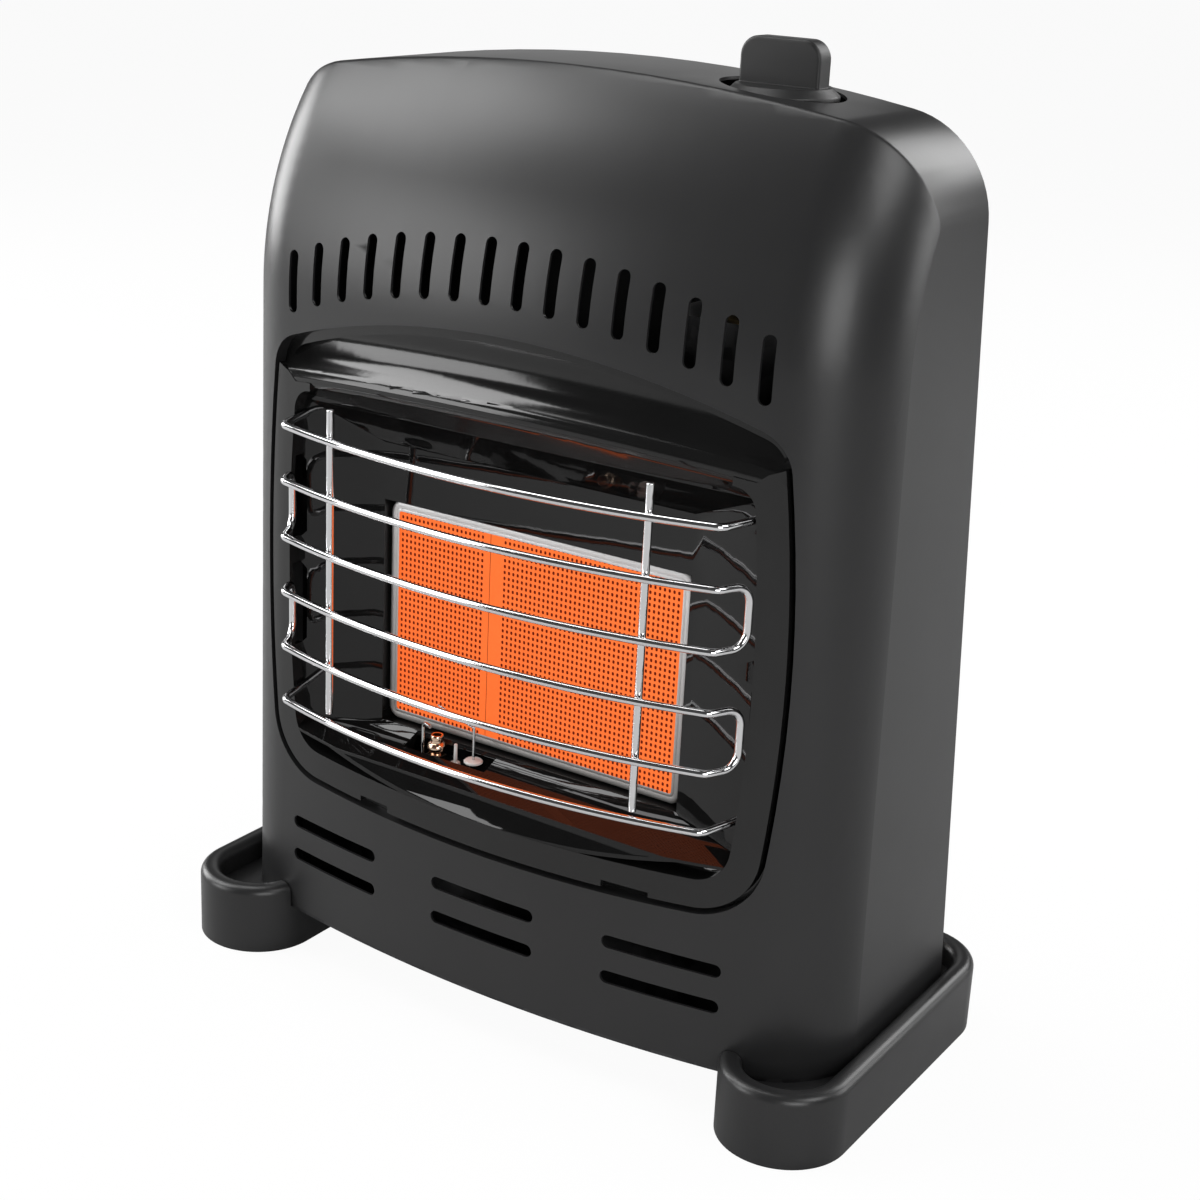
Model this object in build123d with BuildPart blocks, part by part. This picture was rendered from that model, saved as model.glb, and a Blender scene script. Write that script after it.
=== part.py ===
"""Portable radiant propane heater: a bowed sheet-metal cabinet on two feet, with a single
ceramic plaque burner behind a chrome wire guard and a push-and-turn gas knob on top.

Millimetres, +Z up. X is across the heater, the front faces -Y, and the origin lies on
the floor at the middle of the feet and guard.
"""
import os
from math import asin, cos, degrees, radians, sin, sqrt

from build123d import *

# ---------------------------------------------------------------- cabinet form
cabinet_front_y = -66.2        # middle of the front panel
floor_half_width = 147.0       # half of the cabinet's width where it meets the feet
side_taper = 4 / 280           # each side leans in by this much per mm of height
front_bow_radius = 600.0       # plan radius of the bowed front
plan_corner_radius = 40.0      # upright corners between front and sides
dome_start = 288.0             # height at which the front starts to roll back
dome_radius = 140.0
arch_top = 384.5               # highest line of the top band
arch_radius = 700.0
arch_corner_radius = 38.0      # seen from the front
crease_radius = 3.0            # soft edge between the rolled front and the top band
crease_run_out = 0.3           # the crease fades out down the sides over this step
back_foot_y = 60.0             # back plane at the bottom of the cabinet
back_top_y = 31.0              # back plane at the top of the arch
cover_sheet = 1.2
panel_sheet = 1.0
pan_sheet = 1.5
sheet_fit = 0.2                # between nested sheet pieces
rear_flange = 12.0             # inward flange of the cover, behind which the back panel lies

# ---------------------------------------------------------------- feet
foot_centre_x = 132.4
foot_half_width = 26.3
foot_front_y = -74.6
foot_rear_y = 85.6
foot_height = 30.5
foot_rim = 9.0                 # width of the rounded rim
foot_rim_round = 4.0
foot_wall = 3.0
recess_floor = 20.0            # the cabinet stands here, inside the open foot
foot_notch_fit = 0.5
foot_rib = 2.0
foot_screw_y = 34.0
foot_screw_radius = 1.9
foot_screw_head_radius = 3.6
foot_boss_radius = 5.5
foot_rib_places = (-52.0, -17.0, 17.0, 52.0)
pan_rim_height = 12.0
pan_vent_y = 22.0
pan_vent_count = 12

# ---------------------------------------------------------------- front openings
vent_pitch = 14.1
vent_count = 16
vent_length = 24.5
vent_width = 5.0
vent_top = 325.0
vent_arch_radius = 305.0       # the row of vents follows this arc
lower_slot_heights = (47.1, 62.4)
lower_slot_width = 5.5
centre_slot_half = 25.0
side_slot_inner = 56.0
side_slot_outer = 105.5
opening_top = 290.1
opening_top_radius = 330.0
opening_half_width = 122.7
opening_side_radius = 620.0
opening_side_height = 178.0
opening_bottom = 81.5
opening_bottom_radius = 1650.0
opening_upper_corner = 17.0
opening_lower_corner = 29.0
opening_lip = 6.0              # depth of the turned-in edge
back_vent_heights = (84.0, 118.0, 318.0, 350.0)
back_vent_count = 14
screw_radius = 1.9
screw_head_radius = 3.4
screw_fit = 0.3
side_screw_heights = (100.0, 240.0)
end_screw_x = 60.0

# ---------------------------------------------------------------- bezel and firebox
bezel_gap = 2.3                # dark groove between cover and bezel
bezel_band = 11.5              # face width at the sides and bottom
bezel_sheet = 2.2
bezel_sink = 0.6               # face lies this far below the cover's surface
bezel_rear_y = -50.0
bezel_seat = 0.1
clip_notches = ((-65.0, -50.0), (54.0, 74.0))
brow_lip_height = 259.0
brow_lip_y = -65.0
brow_end_x = 119.0
brow_end_drop = 6.5
brow_end_setback = 11.5
brow_height = 27.0
brow_skin = 2.0
lip_below = 3.2                # the rounded lip reaches this far below its foremost line
lip_above = 5.6                # and this far above it
lip_corner = 9.0               # where the lip turns down into the side bands
band_top_inner = 257.3         # the side bands end on a rising line under the brow
band_top_outer = 263.0
clip_notch_height = 6.0
firebox_sheet = 1.0
firebox_front_top = 246.0
firebox_rear_y = -40.0
firebox_rear_top = 232.0
firebox_corner = 1.5
ramp_front_y = -60.3           # front edge of the firebox floor's shallow ramp
ramp_front_height = 104.0
ramp_rear_half = 67.0          # its ends stop just short of the sloping side walls
ramp_front_half = 104.0
ramp_ledge_y = -66.5           # the floor folds down from there to the bezel
ramp_ledge_height = 94.0
firebox_collar_y = -30.0       # collar around the burner ends at the chassis flange
firebox_flange = 15.0          # lies on the chassis
chassis_sheet = 1.2
chassis_half_width = 124.0
chassis_top = 270.0
chassis_flange = 16.0

# ---------------------------------------------------------------- burner
frame_half_width = 71.5
frame_bottom = 113.2
frame_top = 207.9
frame_front_y = -36.7
frame_sheet = 0.8
frame_corner = 6.0
frame_gap = 0.5                # dark gap between the frame and the firebox collar
frame_skirt = 5.0
tile_window_width = 134.0
tile_window_height = 85.0
tile_thickness = 13.0
tile_edge = 2.0                # part of the tile hidden behind the frame
tile_corner = 3.4
tile_joint_x = -22.0
tile_joint_gap = 0.3
gasket_thickness = 0.8
gasket_fit = 0.05
plenum_depth = 33.0
plenum_sheet = 0.7
plenum_flange = 9.0
plenum_ledge = 4.0
plenum_screw_rise = 30.0
plenum_screw_gap = 2.7         # from the collar to the screws' axes
mixer_bell = 12.0
mixer_saddle_length = 24.0
mixer_saddle_height = 12.0
holder_x = 106.0
holder_size = 12.0
injector_hex = 10.0
injector_hex_length = 6.0
injector_nose = 8.0
injector_tip = 2.5
grommet_fit = 1.0
chassis_relief_x = 80.0
chassis_relief_height = 240.0
mixer_radius = 10.5
mixer_mouth_radius = 14.0
mixer_mouth_x = 97.0
mixer_end_x = -40.0
mixer_height = 130.0
mixer_wall = 0.8

# ---------------------------------------------------------------- guard
wire = 3.0
guard_bow_radius = 345.0
guard_front_y = -84.1          # wire centre at the middle of each bar
guard_kink_x = 100.0
guard_kink_radius = 5.0
guard_bar_heights = (123.4, 146.8, 170.2, 193.5, 216.8, 239.7)
guard_rod_x = 72.4
guard_rod_bottom = 125.4
guard_rod_top = 251.4
guard_loop_x = 106.0
guard_loop_y = -57.0
guard_loop_radius = 6.5
guard_end_x = 106.0
guard_end_y = -46.5
loop_leg = 7.5                 # straight length of a loop's end before its bar begins
guard_hole_fit = 0.1
guard_notch_margin = 6.0       # notches beside the loops' ends reach this far past their bars
guard_notch_inner_x = 105.2
guard_notch_outer_x = 111.5
guard_notch_depth = 3.5
guard_notch_chamfer = 2.5
weld_gap = 0.03

# ---------------------------------------------------------------- control
knob_x = 72.0
knob_y = 3.0
knob_hole_radius = 23.0
knob_skirt_radius = 20.5
knob_skirt_top_radius = 17.3
knob_bottom = 377.5
knob_skirt_edge = 1.6
knob_skirt_height = 4.6
knob_top = 398.5
blade_length = 32.4
blade_width = 9.0
blade_corner = 7.0
blade_round = 1.2
hub_radius = 7.5
stem_radius = 4.0
running_fit = 0.05
press_travel = 4.0
valve_width = 34.0
valve_depth = 32.0
valve_bottom = 301.5
valve_body_height = 38.5
bonnet_radius = 11.0
bonnet_height = 12.0
washer_radius = 9.5
washer_thickness = 2.0
spring_height = 14.0
spring_radius = 7.0
spring_wire = 1.0
spring_turns = 5

stem_top = 390.0
stem_bottom = 330.0
bracket_sheet = 1.5
bracket_half_width = 25.0
port_radius = 5.0
port_length = 4.0
port_rise = 14.5               # axis of the outlets above the valve's underside

# ---------------------------------------------------------------- gas lines and pilot
inlet_x = 95.0
inlet_height = 50.0
inlet_radius = 7.9
inlet_neck_radius = 6.9        # passes through the back panel
inlet_bore = 3.0
inlet_hex = 20.0
inlet_hex_length = 5.0
inlet_thread = 14.0            # threaded length outside the hexagon
inlet_spigot = 8.0             # reaches in to the supply tube
supply_radius = 4.0
supply_port_x = 80.0
supply_turn_height = 286.0
tube_wall = 0.8
supply_y = 29.0
burner_tube_radius = 3.0
burner_tube_x = 112.0
pilot_tube_radius = 2.0
lead_radius = 1.5
line_back_y = 27.0
line_floor = 78.0
lead_floor = 84.0
pilot_x = -40.0
pilot_y = -44.0
pilot_radius = 4.0
pilot_top = 111.0
pilot_bracket_height = 100.0
pilot_bracket_left = -52.0
pilot_bracket_right = -13.0
thermocouple_x = -21.5
thermocouple_radius = 1.5
thermocouple_top = 125.0
electrode_x = -30.5
electrode_radius = 2.3
electrode_bottom = 91.0
electrode_top = 106.0
hood_top = 119.0
hood_wire = 0.8
supply_bend = 9.0
burner_bend = 8.0
pilot_bend = 6.0
pilot_drop_x = 36.0
lead_start_x = 60.0
lead_start_rise = 28.5
lead_back_y = 33.0
shield_half_width = 122.0
shield_right = 28.0
shield_back_y = 20.0
switch_x = -85.0
switch_y = 18.0
switch_size = (34.0, 22.0, 18.0)
pilot_hole_bottom = 97.0
pilot_hole_top = 111.0

lean_slope = (back_foot_y - back_top_y) / (arch_top - recess_floor)
pan_top = recess_floor + pan_sheet
valve_top = valve_bottom + valve_body_height
port_height = valve_bottom + port_rise
lead_start_height = valve_bottom + lead_start_rise
bonnet_top = valve_top + bonnet_height
washer_bottom = bonnet_top + spring_height
hub_bottom = washer_bottom + washer_thickness + running_fit

foot_screw_places = [
    (side * foot_centre_x, y) for side in (-1, 1) for y in (-foot_screw_y, foot_screw_y)
]
frame_centre_z = (frame_top + frame_bottom) / 2
plenum_screw_places = [
    (side * (frame_half_width + frame_gap + firebox_sheet + plenum_screw_gap), frame_centre_z + rise)
    for side in (-1, 1) for rise in (-plenum_screw_rise, plenum_screw_rise)
]
guard_kink_y = guard_front_y + guard_bow_radius - sqrt(guard_bow_radius**2 - guard_kink_x**2)

os.makedirs("parts", exist_ok=True)
written = []


def save(part, name):
    """Label a finished piece and write its STEP file."""
    part.label = name
    export_step(part, f"parts/{name}.step")
    written.append(name)


# ---------------------------------------------------------------- shared construction
def half_width(height):
    """Half width of the cabinet at a height above the floor."""
    return floor_half_width - (height - recess_floor) * side_taper


def cabinet_form(inset):
    """Solid bounded by the cabinet's outer faces moved inwards; open-ended below and behind."""
    axis_y = cabinet_front_y + front_bow_radius
    half_sweep = 25
    dome_sweep = 55
    depth = 175
    tall = 410
    low_x = half_width(0) - inset
    high_x = half_width(tall) - inset
    swing = Plane(
        origin=(0, axis_y, 0),
        x_dir=(-sin(radians(half_sweep)), -cos(radians(half_sweep)), 0),
        z_dir=(-cos(radians(half_sweep)), sin(radians(half_sweep)), 0),
    )
    with BuildPart() as form:
        with BuildSketch(swing):
            with BuildLine():
                wall = Line((front_bow_radius - inset, 0), (front_bow_radius - inset, dome_start))
                dome_centre = (front_bow_radius - dome_radius, dome_start)
                dome = CenterArc(dome_centre, dome_radius - inset, 0, dome_sweep)
                top = Line(dome @ 1, (front_bow_radius - depth, (dome @ 1).Y))
                back = Line(top @ 1, (front_bow_radius - depth, 0))
                Line(back @ 1, wall @ 0)
            make_face()
        revolve(axis=Axis((0, axis_y, 0), (0, 0, 1)), revolution_arc=2 * half_sweep)
        with BuildSketch(Plane.XZ.offset(-depth)):
            with BuildLine():
                wide_low, wide_high = low_x + crease_run_out, high_x + crease_run_out
                Polyline((-wide_low, 0), (wide_low, 0), (wide_high, tall), (-wide_high, tall), close=True)
            make_face()
        extrude(amount=2 * depth, mode=Mode.INTERSECT)
        corners = [
            edge for edge in form.edges()
            if edge.bounding_box().size.Z > 50 and abs(edge.center().X) > 100 and edge.center().Y < 30
        ]
        fillet(corners, plan_corner_radius - inset)
        with BuildSketch(Plane.XZ.offset(-depth)) as outline:
            with BuildLine():
                Polyline((-low_x, 0), (low_x, 0), (high_x, tall), (-high_x, tall), close=True)
            make_face()
            with Locations((0, arch_top - arch_radius)):
                Circle(arch_radius - inset, mode=Mode.INTERSECT)
            fillet(outline.vertices().group_by(Axis.Y)[-1], arch_corner_radius - inset)
        extrude(amount=2 * depth, mode=Mode.INTERSECT)
        if crease_radius - inset > 1:
            crease = [
                edge for edge in form.edges().filter_by(GeomType.BSPLINE)
                if edge.center().Z > dome_start + 55 and edge.center().Y < 0
            ]
            fillet(crease, crease_radius - inset)
    return form.part


def back_plane(depth):
    """The leaning back plane, moved forwards into the cabinet by a depth."""
    lean = Vector(0, arch_top - recess_floor, back_foot_y - back_top_y).normalized()
    origin = Vector(0, back_foot_y, recess_floor) - lean * depth
    return Plane(origin=origin, x_dir=(1, 0, 0), z_dir=lean)


def opening_outline(margin):
    """Front outline of the firebox opening, moved inwards: four broad arcs and their corners."""
    side_centre = opening_half_width - opening_side_radius
    with BuildSketch(Plane.XZ) as outline:
        with Locations((0, opening_top - opening_top_radius)):
            Circle(opening_top_radius - margin)
        for centre_x in (side_centre, -side_centre):
            with Locations((centre_x, opening_side_height)):
                Circle(opening_side_radius - margin, mode=Mode.INTERSECT)
        with Locations((0, opening_bottom + opening_bottom_radius)):
            Circle(opening_bottom_radius - margin, mode=Mode.INTERSECT)
        fillet(outline.vertices().group_by(Axis.Y)[-1], max(opening_upper_corner - margin, 2))
        fillet(outline.vertices().group_by(Axis.Y)[0], max(opening_lower_corner - margin, 2))
    return outline.sketch


def plate(x_range, y_range, z_range):
    """Flat block between two corners, for sheet pieces and cutters."""
    size = [high - low for low, high in (x_range, y_range, z_range)]
    centre = [(high + low) / 2 for low, high in (x_range, y_range, z_range)]
    return Pos(*centre) * Box(*size, mode=Mode.PRIVATE)


def run_tube(points, bends, outer, inner=0.0):
    """Tube along straight runs joined by tangent bends."""
    with BuildPart() as tube:
        with BuildLine() as route:
            FilletPolyline(*points, radius=bends)
        start = Plane(origin=route.line @ 0, z_dir=route.line % 0)
        with BuildSketch(start):
            Circle(outer)
            if inner:
                Circle(inner, mode=Mode.SUBTRACT)
        sweep(path=route.line)
    return tube.part


def pan_screw(radius, shank, head_radius, head_height):
    """Pan-head screw standing on z = 0 with its shank below and a cross recess on top."""
    with BuildPart() as screw:
        Cylinder(radius, shank, align=(Align.CENTER, Align.CENTER, Align.MAX))
        Cylinder(head_radius, head_height, align=(Align.CENTER, Align.CENTER, Align.MIN))
        fillet(screw.faces().sort_by(Axis.Z)[-1].edges(), head_height * 0.45)
        with BuildSketch(Plane.XY.offset(head_height)):
            Rectangle(head_radius * 1.1, head_radius * 0.28)
            Rectangle(head_radius * 0.28, head_radius * 1.1)
        extrude(amount=-head_height * 0.55, mode=Mode.SUBTRACT)
    return screw.part


side_screw_inset = rear_flange / 2
back_screw_places = [
    (side * (half_width(height) - side_screw_inset), height) for side in (-1, 1) for height in side_screw_heights
] + [
    (side * end_screw_x, height) for side in (-1, 1)
    for height in (pan_top + pan_rim_height - side_screw_inset + 1, arch_top - side_screw_inset - 3)
]

form_outer = cabinet_form(0)
form_inner = cabinet_form(cover_sheet)
form_flange = cabinet_form(rear_flange)
panel_face = back_plane(panel_sheet)

# ---------------------------------------------------------------- front cover
front_side = Plane.XZ.offset(-cabinet_front_y - 45)      # cutters start here and run forwards
with BuildPart() as front_cover:
    add(form_outer)
    add(form_inner, mode=Mode.SUBTRACT)
    split(bisect_by=panel_face, keep=Keep.BOTTOM)
    split(bisect_by=Plane.XY.offset(pan_top), keep=Keep.TOP)
    with BuildSketch(front_side):
        add(opening_outline(0))
    extrude(amount=60, mode=Mode.SUBTRACT)
    with BuildSketch(Plane.XZ.offset(-cabinet_front_y - 60)):
        for index in range(vent_count):
            vent_x = (index - (vent_count - 1) / 2) * vent_pitch
            drop = vent_arch_radius - sqrt(vent_arch_radius**2 - vent_x**2)
            with Locations((vent_x, vent_top - drop - vent_length / 2)):
                SlotOverall(vent_length, vent_width, rotation=90)
    extrude(amount=80, mode=Mode.SUBTRACT)
    side_slot_length = side_slot_outer - side_slot_inner
    with BuildSketch(front_side):
        for height in lower_slot_heights:
            with Locations((0, height)):
                SlotOverall(2 * centre_slot_half, lower_slot_width)
            for side in (-1, 1):
                with Locations((side * (side_slot_inner + side_slot_length / 2), height)):
                    SlotOverall(side_slot_length, lower_slot_width)
    extrude(amount=60, mode=Mode.SUBTRACT)
    with BuildSketch(Plane.XY.offset(arch_top - 30)):
        with Locations((knob_x, knob_y)):
            Circle(knob_hole_radius)
    extrude(amount=40, mode=Mode.SUBTRACT)

# The turned-in edge round the firebox opening and the flange behind which the back panel sits
form_lip = cabinet_form(opening_lip)
with BuildPart() as opening_edge:
    with BuildSketch(Plane.XZ):
        add(opening_outline(-cover_sheet))
        add(opening_outline(0), mode=Mode.SUBTRACT)
    extrude(amount=90)
    add(form_outer, mode=Mode.INTERSECT)
    add(form_lip, mode=Mode.SUBTRACT)
with BuildPart() as back_edge:
    add(form_outer)
    add(form_flange, mode=Mode.SUBTRACT)
    split(bisect_by=panel_face, keep=Keep.BOTTOM)
    split(bisect_by=back_plane(panel_sheet + cover_sheet), keep=Keep.TOP)
    split(bisect_by=Plane.XY.offset(pan_top), keep=Keep.TOP)
    with BuildSketch(Plane.XZ):
        with Locations(*back_screw_places):
            Circle(screw_radius + screw_fit)
    extrude(amount=-2 * back_foot_y, mode=Mode.SUBTRACT)
with BuildPart() as cover:
    add(front_cover.part)
    add(opening_edge.part)
    add(back_edge.part)
save(cover.part, "front_cover")

# ---------------------------------------------------------------- back panel
with BuildPart() as back_panel:
    add(cabinet_form(panel_sheet))
    split(bisect_by=back_plane(0), keep=Keep.BOTTOM)
    split(bisect_by=panel_face, keep=Keep.TOP)
    split(bisect_by=Plane.XY.offset(pan_top), keep=Keep.TOP)
    with BuildSketch(Plane.XZ):
        for height in back_vent_heights:
            with Locations((0, height)):
                with GridLocations(vent_pitch, 1, back_vent_count, 1):
                    SlotOverall(vent_length, vent_width, rotation=90)
        with Locations((inlet_x, inlet_height)):
            Circle(inlet_neck_radius + sheet_fit)
        with Locations(*back_screw_places):
            Circle(screw_radius + screw_fit)
    extrude(amount=-2 * back_foot_y, mode=Mode.SUBTRACT)
save(back_panel.part, "back_panel")

# ---------------------------------------------------------------- base pan
pan_inner = cabinet_form(cover_sheet + sheet_fit)
pan_hollow = cabinet_form(cover_sheet + sheet_fit + panel_sheet)
with BuildPart() as pan_floor:
    add(cabinet_form(sheet_fit))
    split(bisect_by=back_plane(0), keep=Keep.BOTTOM)
    split(bisect_by=Plane.XY.offset(recess_floor), keep=Keep.TOP)
    split(bisect_by=Plane.XY.offset(pan_top), keep=Keep.BOTTOM)
    with BuildSketch(Plane.XY):
        with Locations((0, pan_vent_y)):
            with GridLocations(vent_pitch, 1, pan_vent_count, 1):
                SlotOverall(vent_length, vent_width, rotation=90)
        with Locations(*foot_screw_places):
            Circle(foot_screw_radius + running_fit)
    extrude(amount=pan_top + 1, mode=Mode.SUBTRACT)
with BuildPart() as pan_rim:
    add(pan_inner)
    add(pan_hollow, mode=Mode.SUBTRACT)
    split(bisect_by=back_plane(panel_sheet + cover_sheet + sheet_fit), keep=Keep.BOTTOM)
    split(bisect_by=Plane.XY.offset(pan_top), keep=Keep.TOP)
    split(bisect_by=Plane.XY.offset(pan_top + pan_rim_height), keep=Keep.BOTTOM)
with BuildPart() as pan_back:
    add(cabinet_form(rear_flange + 1))
    split(bisect_by=panel_face, keep=Keep.BOTTOM)
    split(bisect_by=back_plane(panel_sheet + pan_sheet), keep=Keep.TOP)
    split(bisect_by=Plane.XY.offset(pan_top), keep=Keep.TOP)
    split(bisect_by=Plane.XY.offset(pan_top + pan_rim_height), keep=Keep.BOTTOM)
    with BuildSketch(Plane.XZ):
        with Locations(*[place for place in back_screw_places if place[1] < pan_top + pan_rim_height]):
            Circle(screw_radius + screw_fit)
    extrude(amount=-2 * back_foot_y, mode=Mode.SUBTRACT)
with BuildPart() as base_pan:
    add(pan_floor.part)
    add(pan_rim.part)
    add(pan_back.part)
save(base_pan.part, "base_pan")

# ---------------------------------------------------------------- feet
foot_length = foot_rear_y - foot_front_y
foot_centre_y = (foot_rear_y + foot_front_y) / 2
with BuildPart() as footprint:
    add(cabinet_form(-foot_notch_fit))
    split(bisect_by=back_plane(-foot_notch_fit), keep=Keep.BOTTOM)
    split(bisect_by=Plane.XY.offset(recess_floor), keep=Keep.TOP)
    split(bisect_by=Plane.XY.offset(foot_height + 10), keep=Keep.BOTTOM)


def foot(side):
    """Moulded foot: an open stadium-shaped tray with a rounded rim, ribbed underneath."""
    middle = Plane.XY.shift_origin((side * foot_centre_x, foot_centre_y, 0))
    with BuildPart() as tray:
        with BuildSketch(middle):
            SlotOverall(foot_length, 2 * foot_half_width, rotation=90)
        extrude(amount=foot_height)
        fillet(tray.faces().sort_by(Axis.Z)[-1].edges(), foot_rim_round)
        with BuildSketch(middle.offset(recess_floor)):
            SlotOverall(foot_length - 2 * foot_rim, 2 * (foot_half_width - foot_rim), rotation=90)
        extrude(amount=foot_height, mode=Mode.SUBTRACT)
        inner_rim = [
            edge for edge in tray.edges()
            if edge.center().Z > foot_height - 0.1 and edge.bounding_box().size.X < 2 * foot_half_width - 12
        ]
        fillet(inner_rim, foot_rim_round)
        add(footprint.part, mode=Mode.SUBTRACT)
        with BuildSketch(middle):
            SlotOverall(foot_length - 2 * foot_wall, 2 * (foot_half_width - foot_wall), rotation=90)
        extrude(amount=recess_floor - foot_wall, mode=Mode.SUBTRACT)
        with BuildSketch(middle.offset(foot_rib)):
            for rib_y in foot_rib_places:
                with Locations((0, rib_y)):
                    Rectangle(2 * foot_half_width - foot_wall, foot_rib)
            Rectangle(foot_rib, foot_length - foot_wall)
        extrude(amount=recess_floor - foot_wall - foot_rib)
        with BuildSketch(Plane.XY.offset(foot_rib)):
            for place in foot_screw_places:
                if place[0] * side > 0:
                    with Locations(place):
                        Circle(foot_boss_radius)
        extrude(amount=recess_floor - foot_wall - foot_rib)
        for place in foot_screw_places:
            if place[0] * side > 0:
                with Locations(place):
                    Cylinder(foot_screw_radius + sheet_fit, recess_floor + 1, mode=Mode.SUBTRACT,
                             align=(Align.CENTER, Align.CENTER, Align.MIN))
                    Cylinder(foot_screw_head_radius + sheet_fit, recess_floor - foot_wall, mode=Mode.SUBTRACT,
                             align=(Align.CENTER, Align.CENTER, Align.MIN))
    return tray.part


save(foot(-1), "left_foot")
save(foot(1), "right_foot")

foot_screw = pan_screw(foot_screw_radius, foot_wall + pan_sheet + 3, foot_screw_head_radius, 2.2)
foot_screws = [
    Pos(x, y, recess_floor - foot_wall) * Rot(180, 0, 0) * foot_screw for x, y in foot_screw_places
]
save(Compound(children=foot_screws), "foot_screws")

# ---------------------------------------------------------------- bezel with its brow
def guard_seats():
    """Cutter for the holes that take the guard's ends and the notches beside its loops."""
    middle_x = (guard_notch_inner_x + guard_notch_outer_x) / 2
    loops = [
        (guard_bar_heights[low] - guard_notch_margin, guard_bar_heights[low + 1] + guard_notch_margin)
        for low in (1, 3)
    ]
    bars = [(height - wire, height + wire) for height in (guard_bar_heights[0], guard_bar_heights[-1])]
    with BuildPart() as notches:
        with BuildSketch(Plane.XZ.offset(-bezel_rear_y - guard_notch_depth)):
            for low, high in loops + bars:
                for side in (-1, 1):
                    with Locations((side * middle_x, (low + high) / 2)):
                        Rectangle(guard_notch_outer_x - guard_notch_inner_x, high - low)
        extrude(amount=2 * guard_notch_depth)
        inner_corners = [
            edge for edge in notches.edges().filter_by(Axis.Y)
            if abs(abs(edge.center().X) - guard_notch_inner_x) < 0.01
        ]
        chamfer(inner_corners, guard_notch_chamfer)
        for side in (-1, 1):
            for height in (guard_bar_heights[0], guard_bar_heights[-1]):
                leg_start = (side * guard_kink_x, guard_kink_y, height)
                with BuildSketch(Plane(origin=leg_start, z_dir=(side * guard_leg.X, guard_leg.Y, 0))):
                    Circle(wire / 2 + guard_hole_fit)
                extrude(amount=1.5 * guard_leg.length)
    return notches.part


guard_leg = Vector(guard_end_x - guard_kink_x, guard_end_y - guard_kink_y, 0)
guard_cutter = guard_seats()
form_face = cabinet_form(bezel_sink)
form_back = cabinet_form(bezel_sink + bezel_sheet)
seat_depth = opening_lip + bezel_seat
form_seat = cabinet_form(seat_depth)
form_seat_back = cabinet_form(seat_depth + bezel_sheet)
inner_margin = bezel_gap + bezel_band

with BuildPart() as bezel_face:
    with BuildSketch(Plane.XZ):
        add(opening_outline(bezel_gap))
        add(opening_outline(inner_margin), mode=Mode.SUBTRACT)
    extrude(amount=90)
    add(form_face, mode=Mode.INTERSECT)
    add(form_back, mode=Mode.SUBTRACT)
with BuildPart() as bezel_outer_wall:
    with BuildSketch(Plane.XZ):
        add(opening_outline(bezel_gap))
        add(opening_outline(bezel_gap + bezel_sheet), mode=Mode.SUBTRACT)
    extrude(amount=90)
    add(form_face, mode=Mode.INTERSECT)
    add(form_seat_back, mode=Mode.SUBTRACT)
with BuildPart() as bezel_seat_flange:
    with BuildSketch(Plane.XZ):
        add(opening_outline(-cover_sheet - bezel_sheet))
        add(opening_outline(bezel_gap + bezel_sheet), mode=Mode.SUBTRACT)
    extrude(amount=90)
    add(form_seat, mode=Mode.INTERSECT)
    add(form_seat_back, mode=Mode.SUBTRACT)
with BuildPart() as bezel_inner_wall:
    with BuildSketch(Plane.XZ.offset(-bezel_rear_y)):
        add(opening_outline(inner_margin - bezel_sheet))
        add(opening_outline(inner_margin), mode=Mode.SUBTRACT)
    extrude(amount=30)
    add(form_face, mode=Mode.INTERSECT)

# The brow: a concave visor with a rounded lip, turned about an axis that gives it the bow of the front
brow_rise = Vector(0, -brow_end_setback, brow_end_drop)
brow_radius = (brow_end_x**2 + brow_rise.length**2) / (2 * brow_rise.length)
brow_centre = Vector(0, brow_lip_y, brow_lip_height) - brow_rise.normalized() * brow_radius
brow_axis = Axis(brow_centre, Vector(1, 0, 0).cross(brow_rise))
brow_half_angle = degrees(asin(brow_end_x / brow_radius))
with BuildPart() as brow_sweep:
    with BuildSketch(Plane.YZ.shift_origin((0, brow_lip_y, brow_lip_height))):
        with BuildLine():
            nose = ThreePointArc((2.2, lip_above), (0, 0.8), (2.6, -lip_below))
            soffit = Line(nose @ 1, (bezel_rear_y - brow_lip_y, firebox_front_top - brow_lip_height))
            rear = Line(soffit @ 1, (soffit @ 1) + Vector(0, brow_skin * 1.2))
            inside = Line(rear @ 1, (5.2, -1.2))
            hollow = ThreePointArc(inside @ 1, (9.9, 13.0), (8.6, brow_height))
            edge = Line(hollow @ 1, (8.6 - brow_skin, brow_height))
            ThreePointArc(edge @ 1, (9.9 - brow_skin, 13.5), nose @ 0)
        make_face()
    revolve(axis=brow_axis, revolution_arc=2 * brow_half_angle)
brow_bar = brow_sweep.part.rotate(brow_axis, -brow_half_angle)
with BuildPart() as brow:
    add(brow_bar)
    with BuildSketch(Plane.XZ):
        add(opening_outline(bezel_gap))
    extrude(amount=90, mode=Mode.INTERSECT)
    add(
        plate((-brow_end_x, brow_end_x), (bezel_rear_y, 0), (0, firebox_front_top + 3 * brow_skin)),
        mode=Mode.SUBTRACT,
    )

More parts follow.
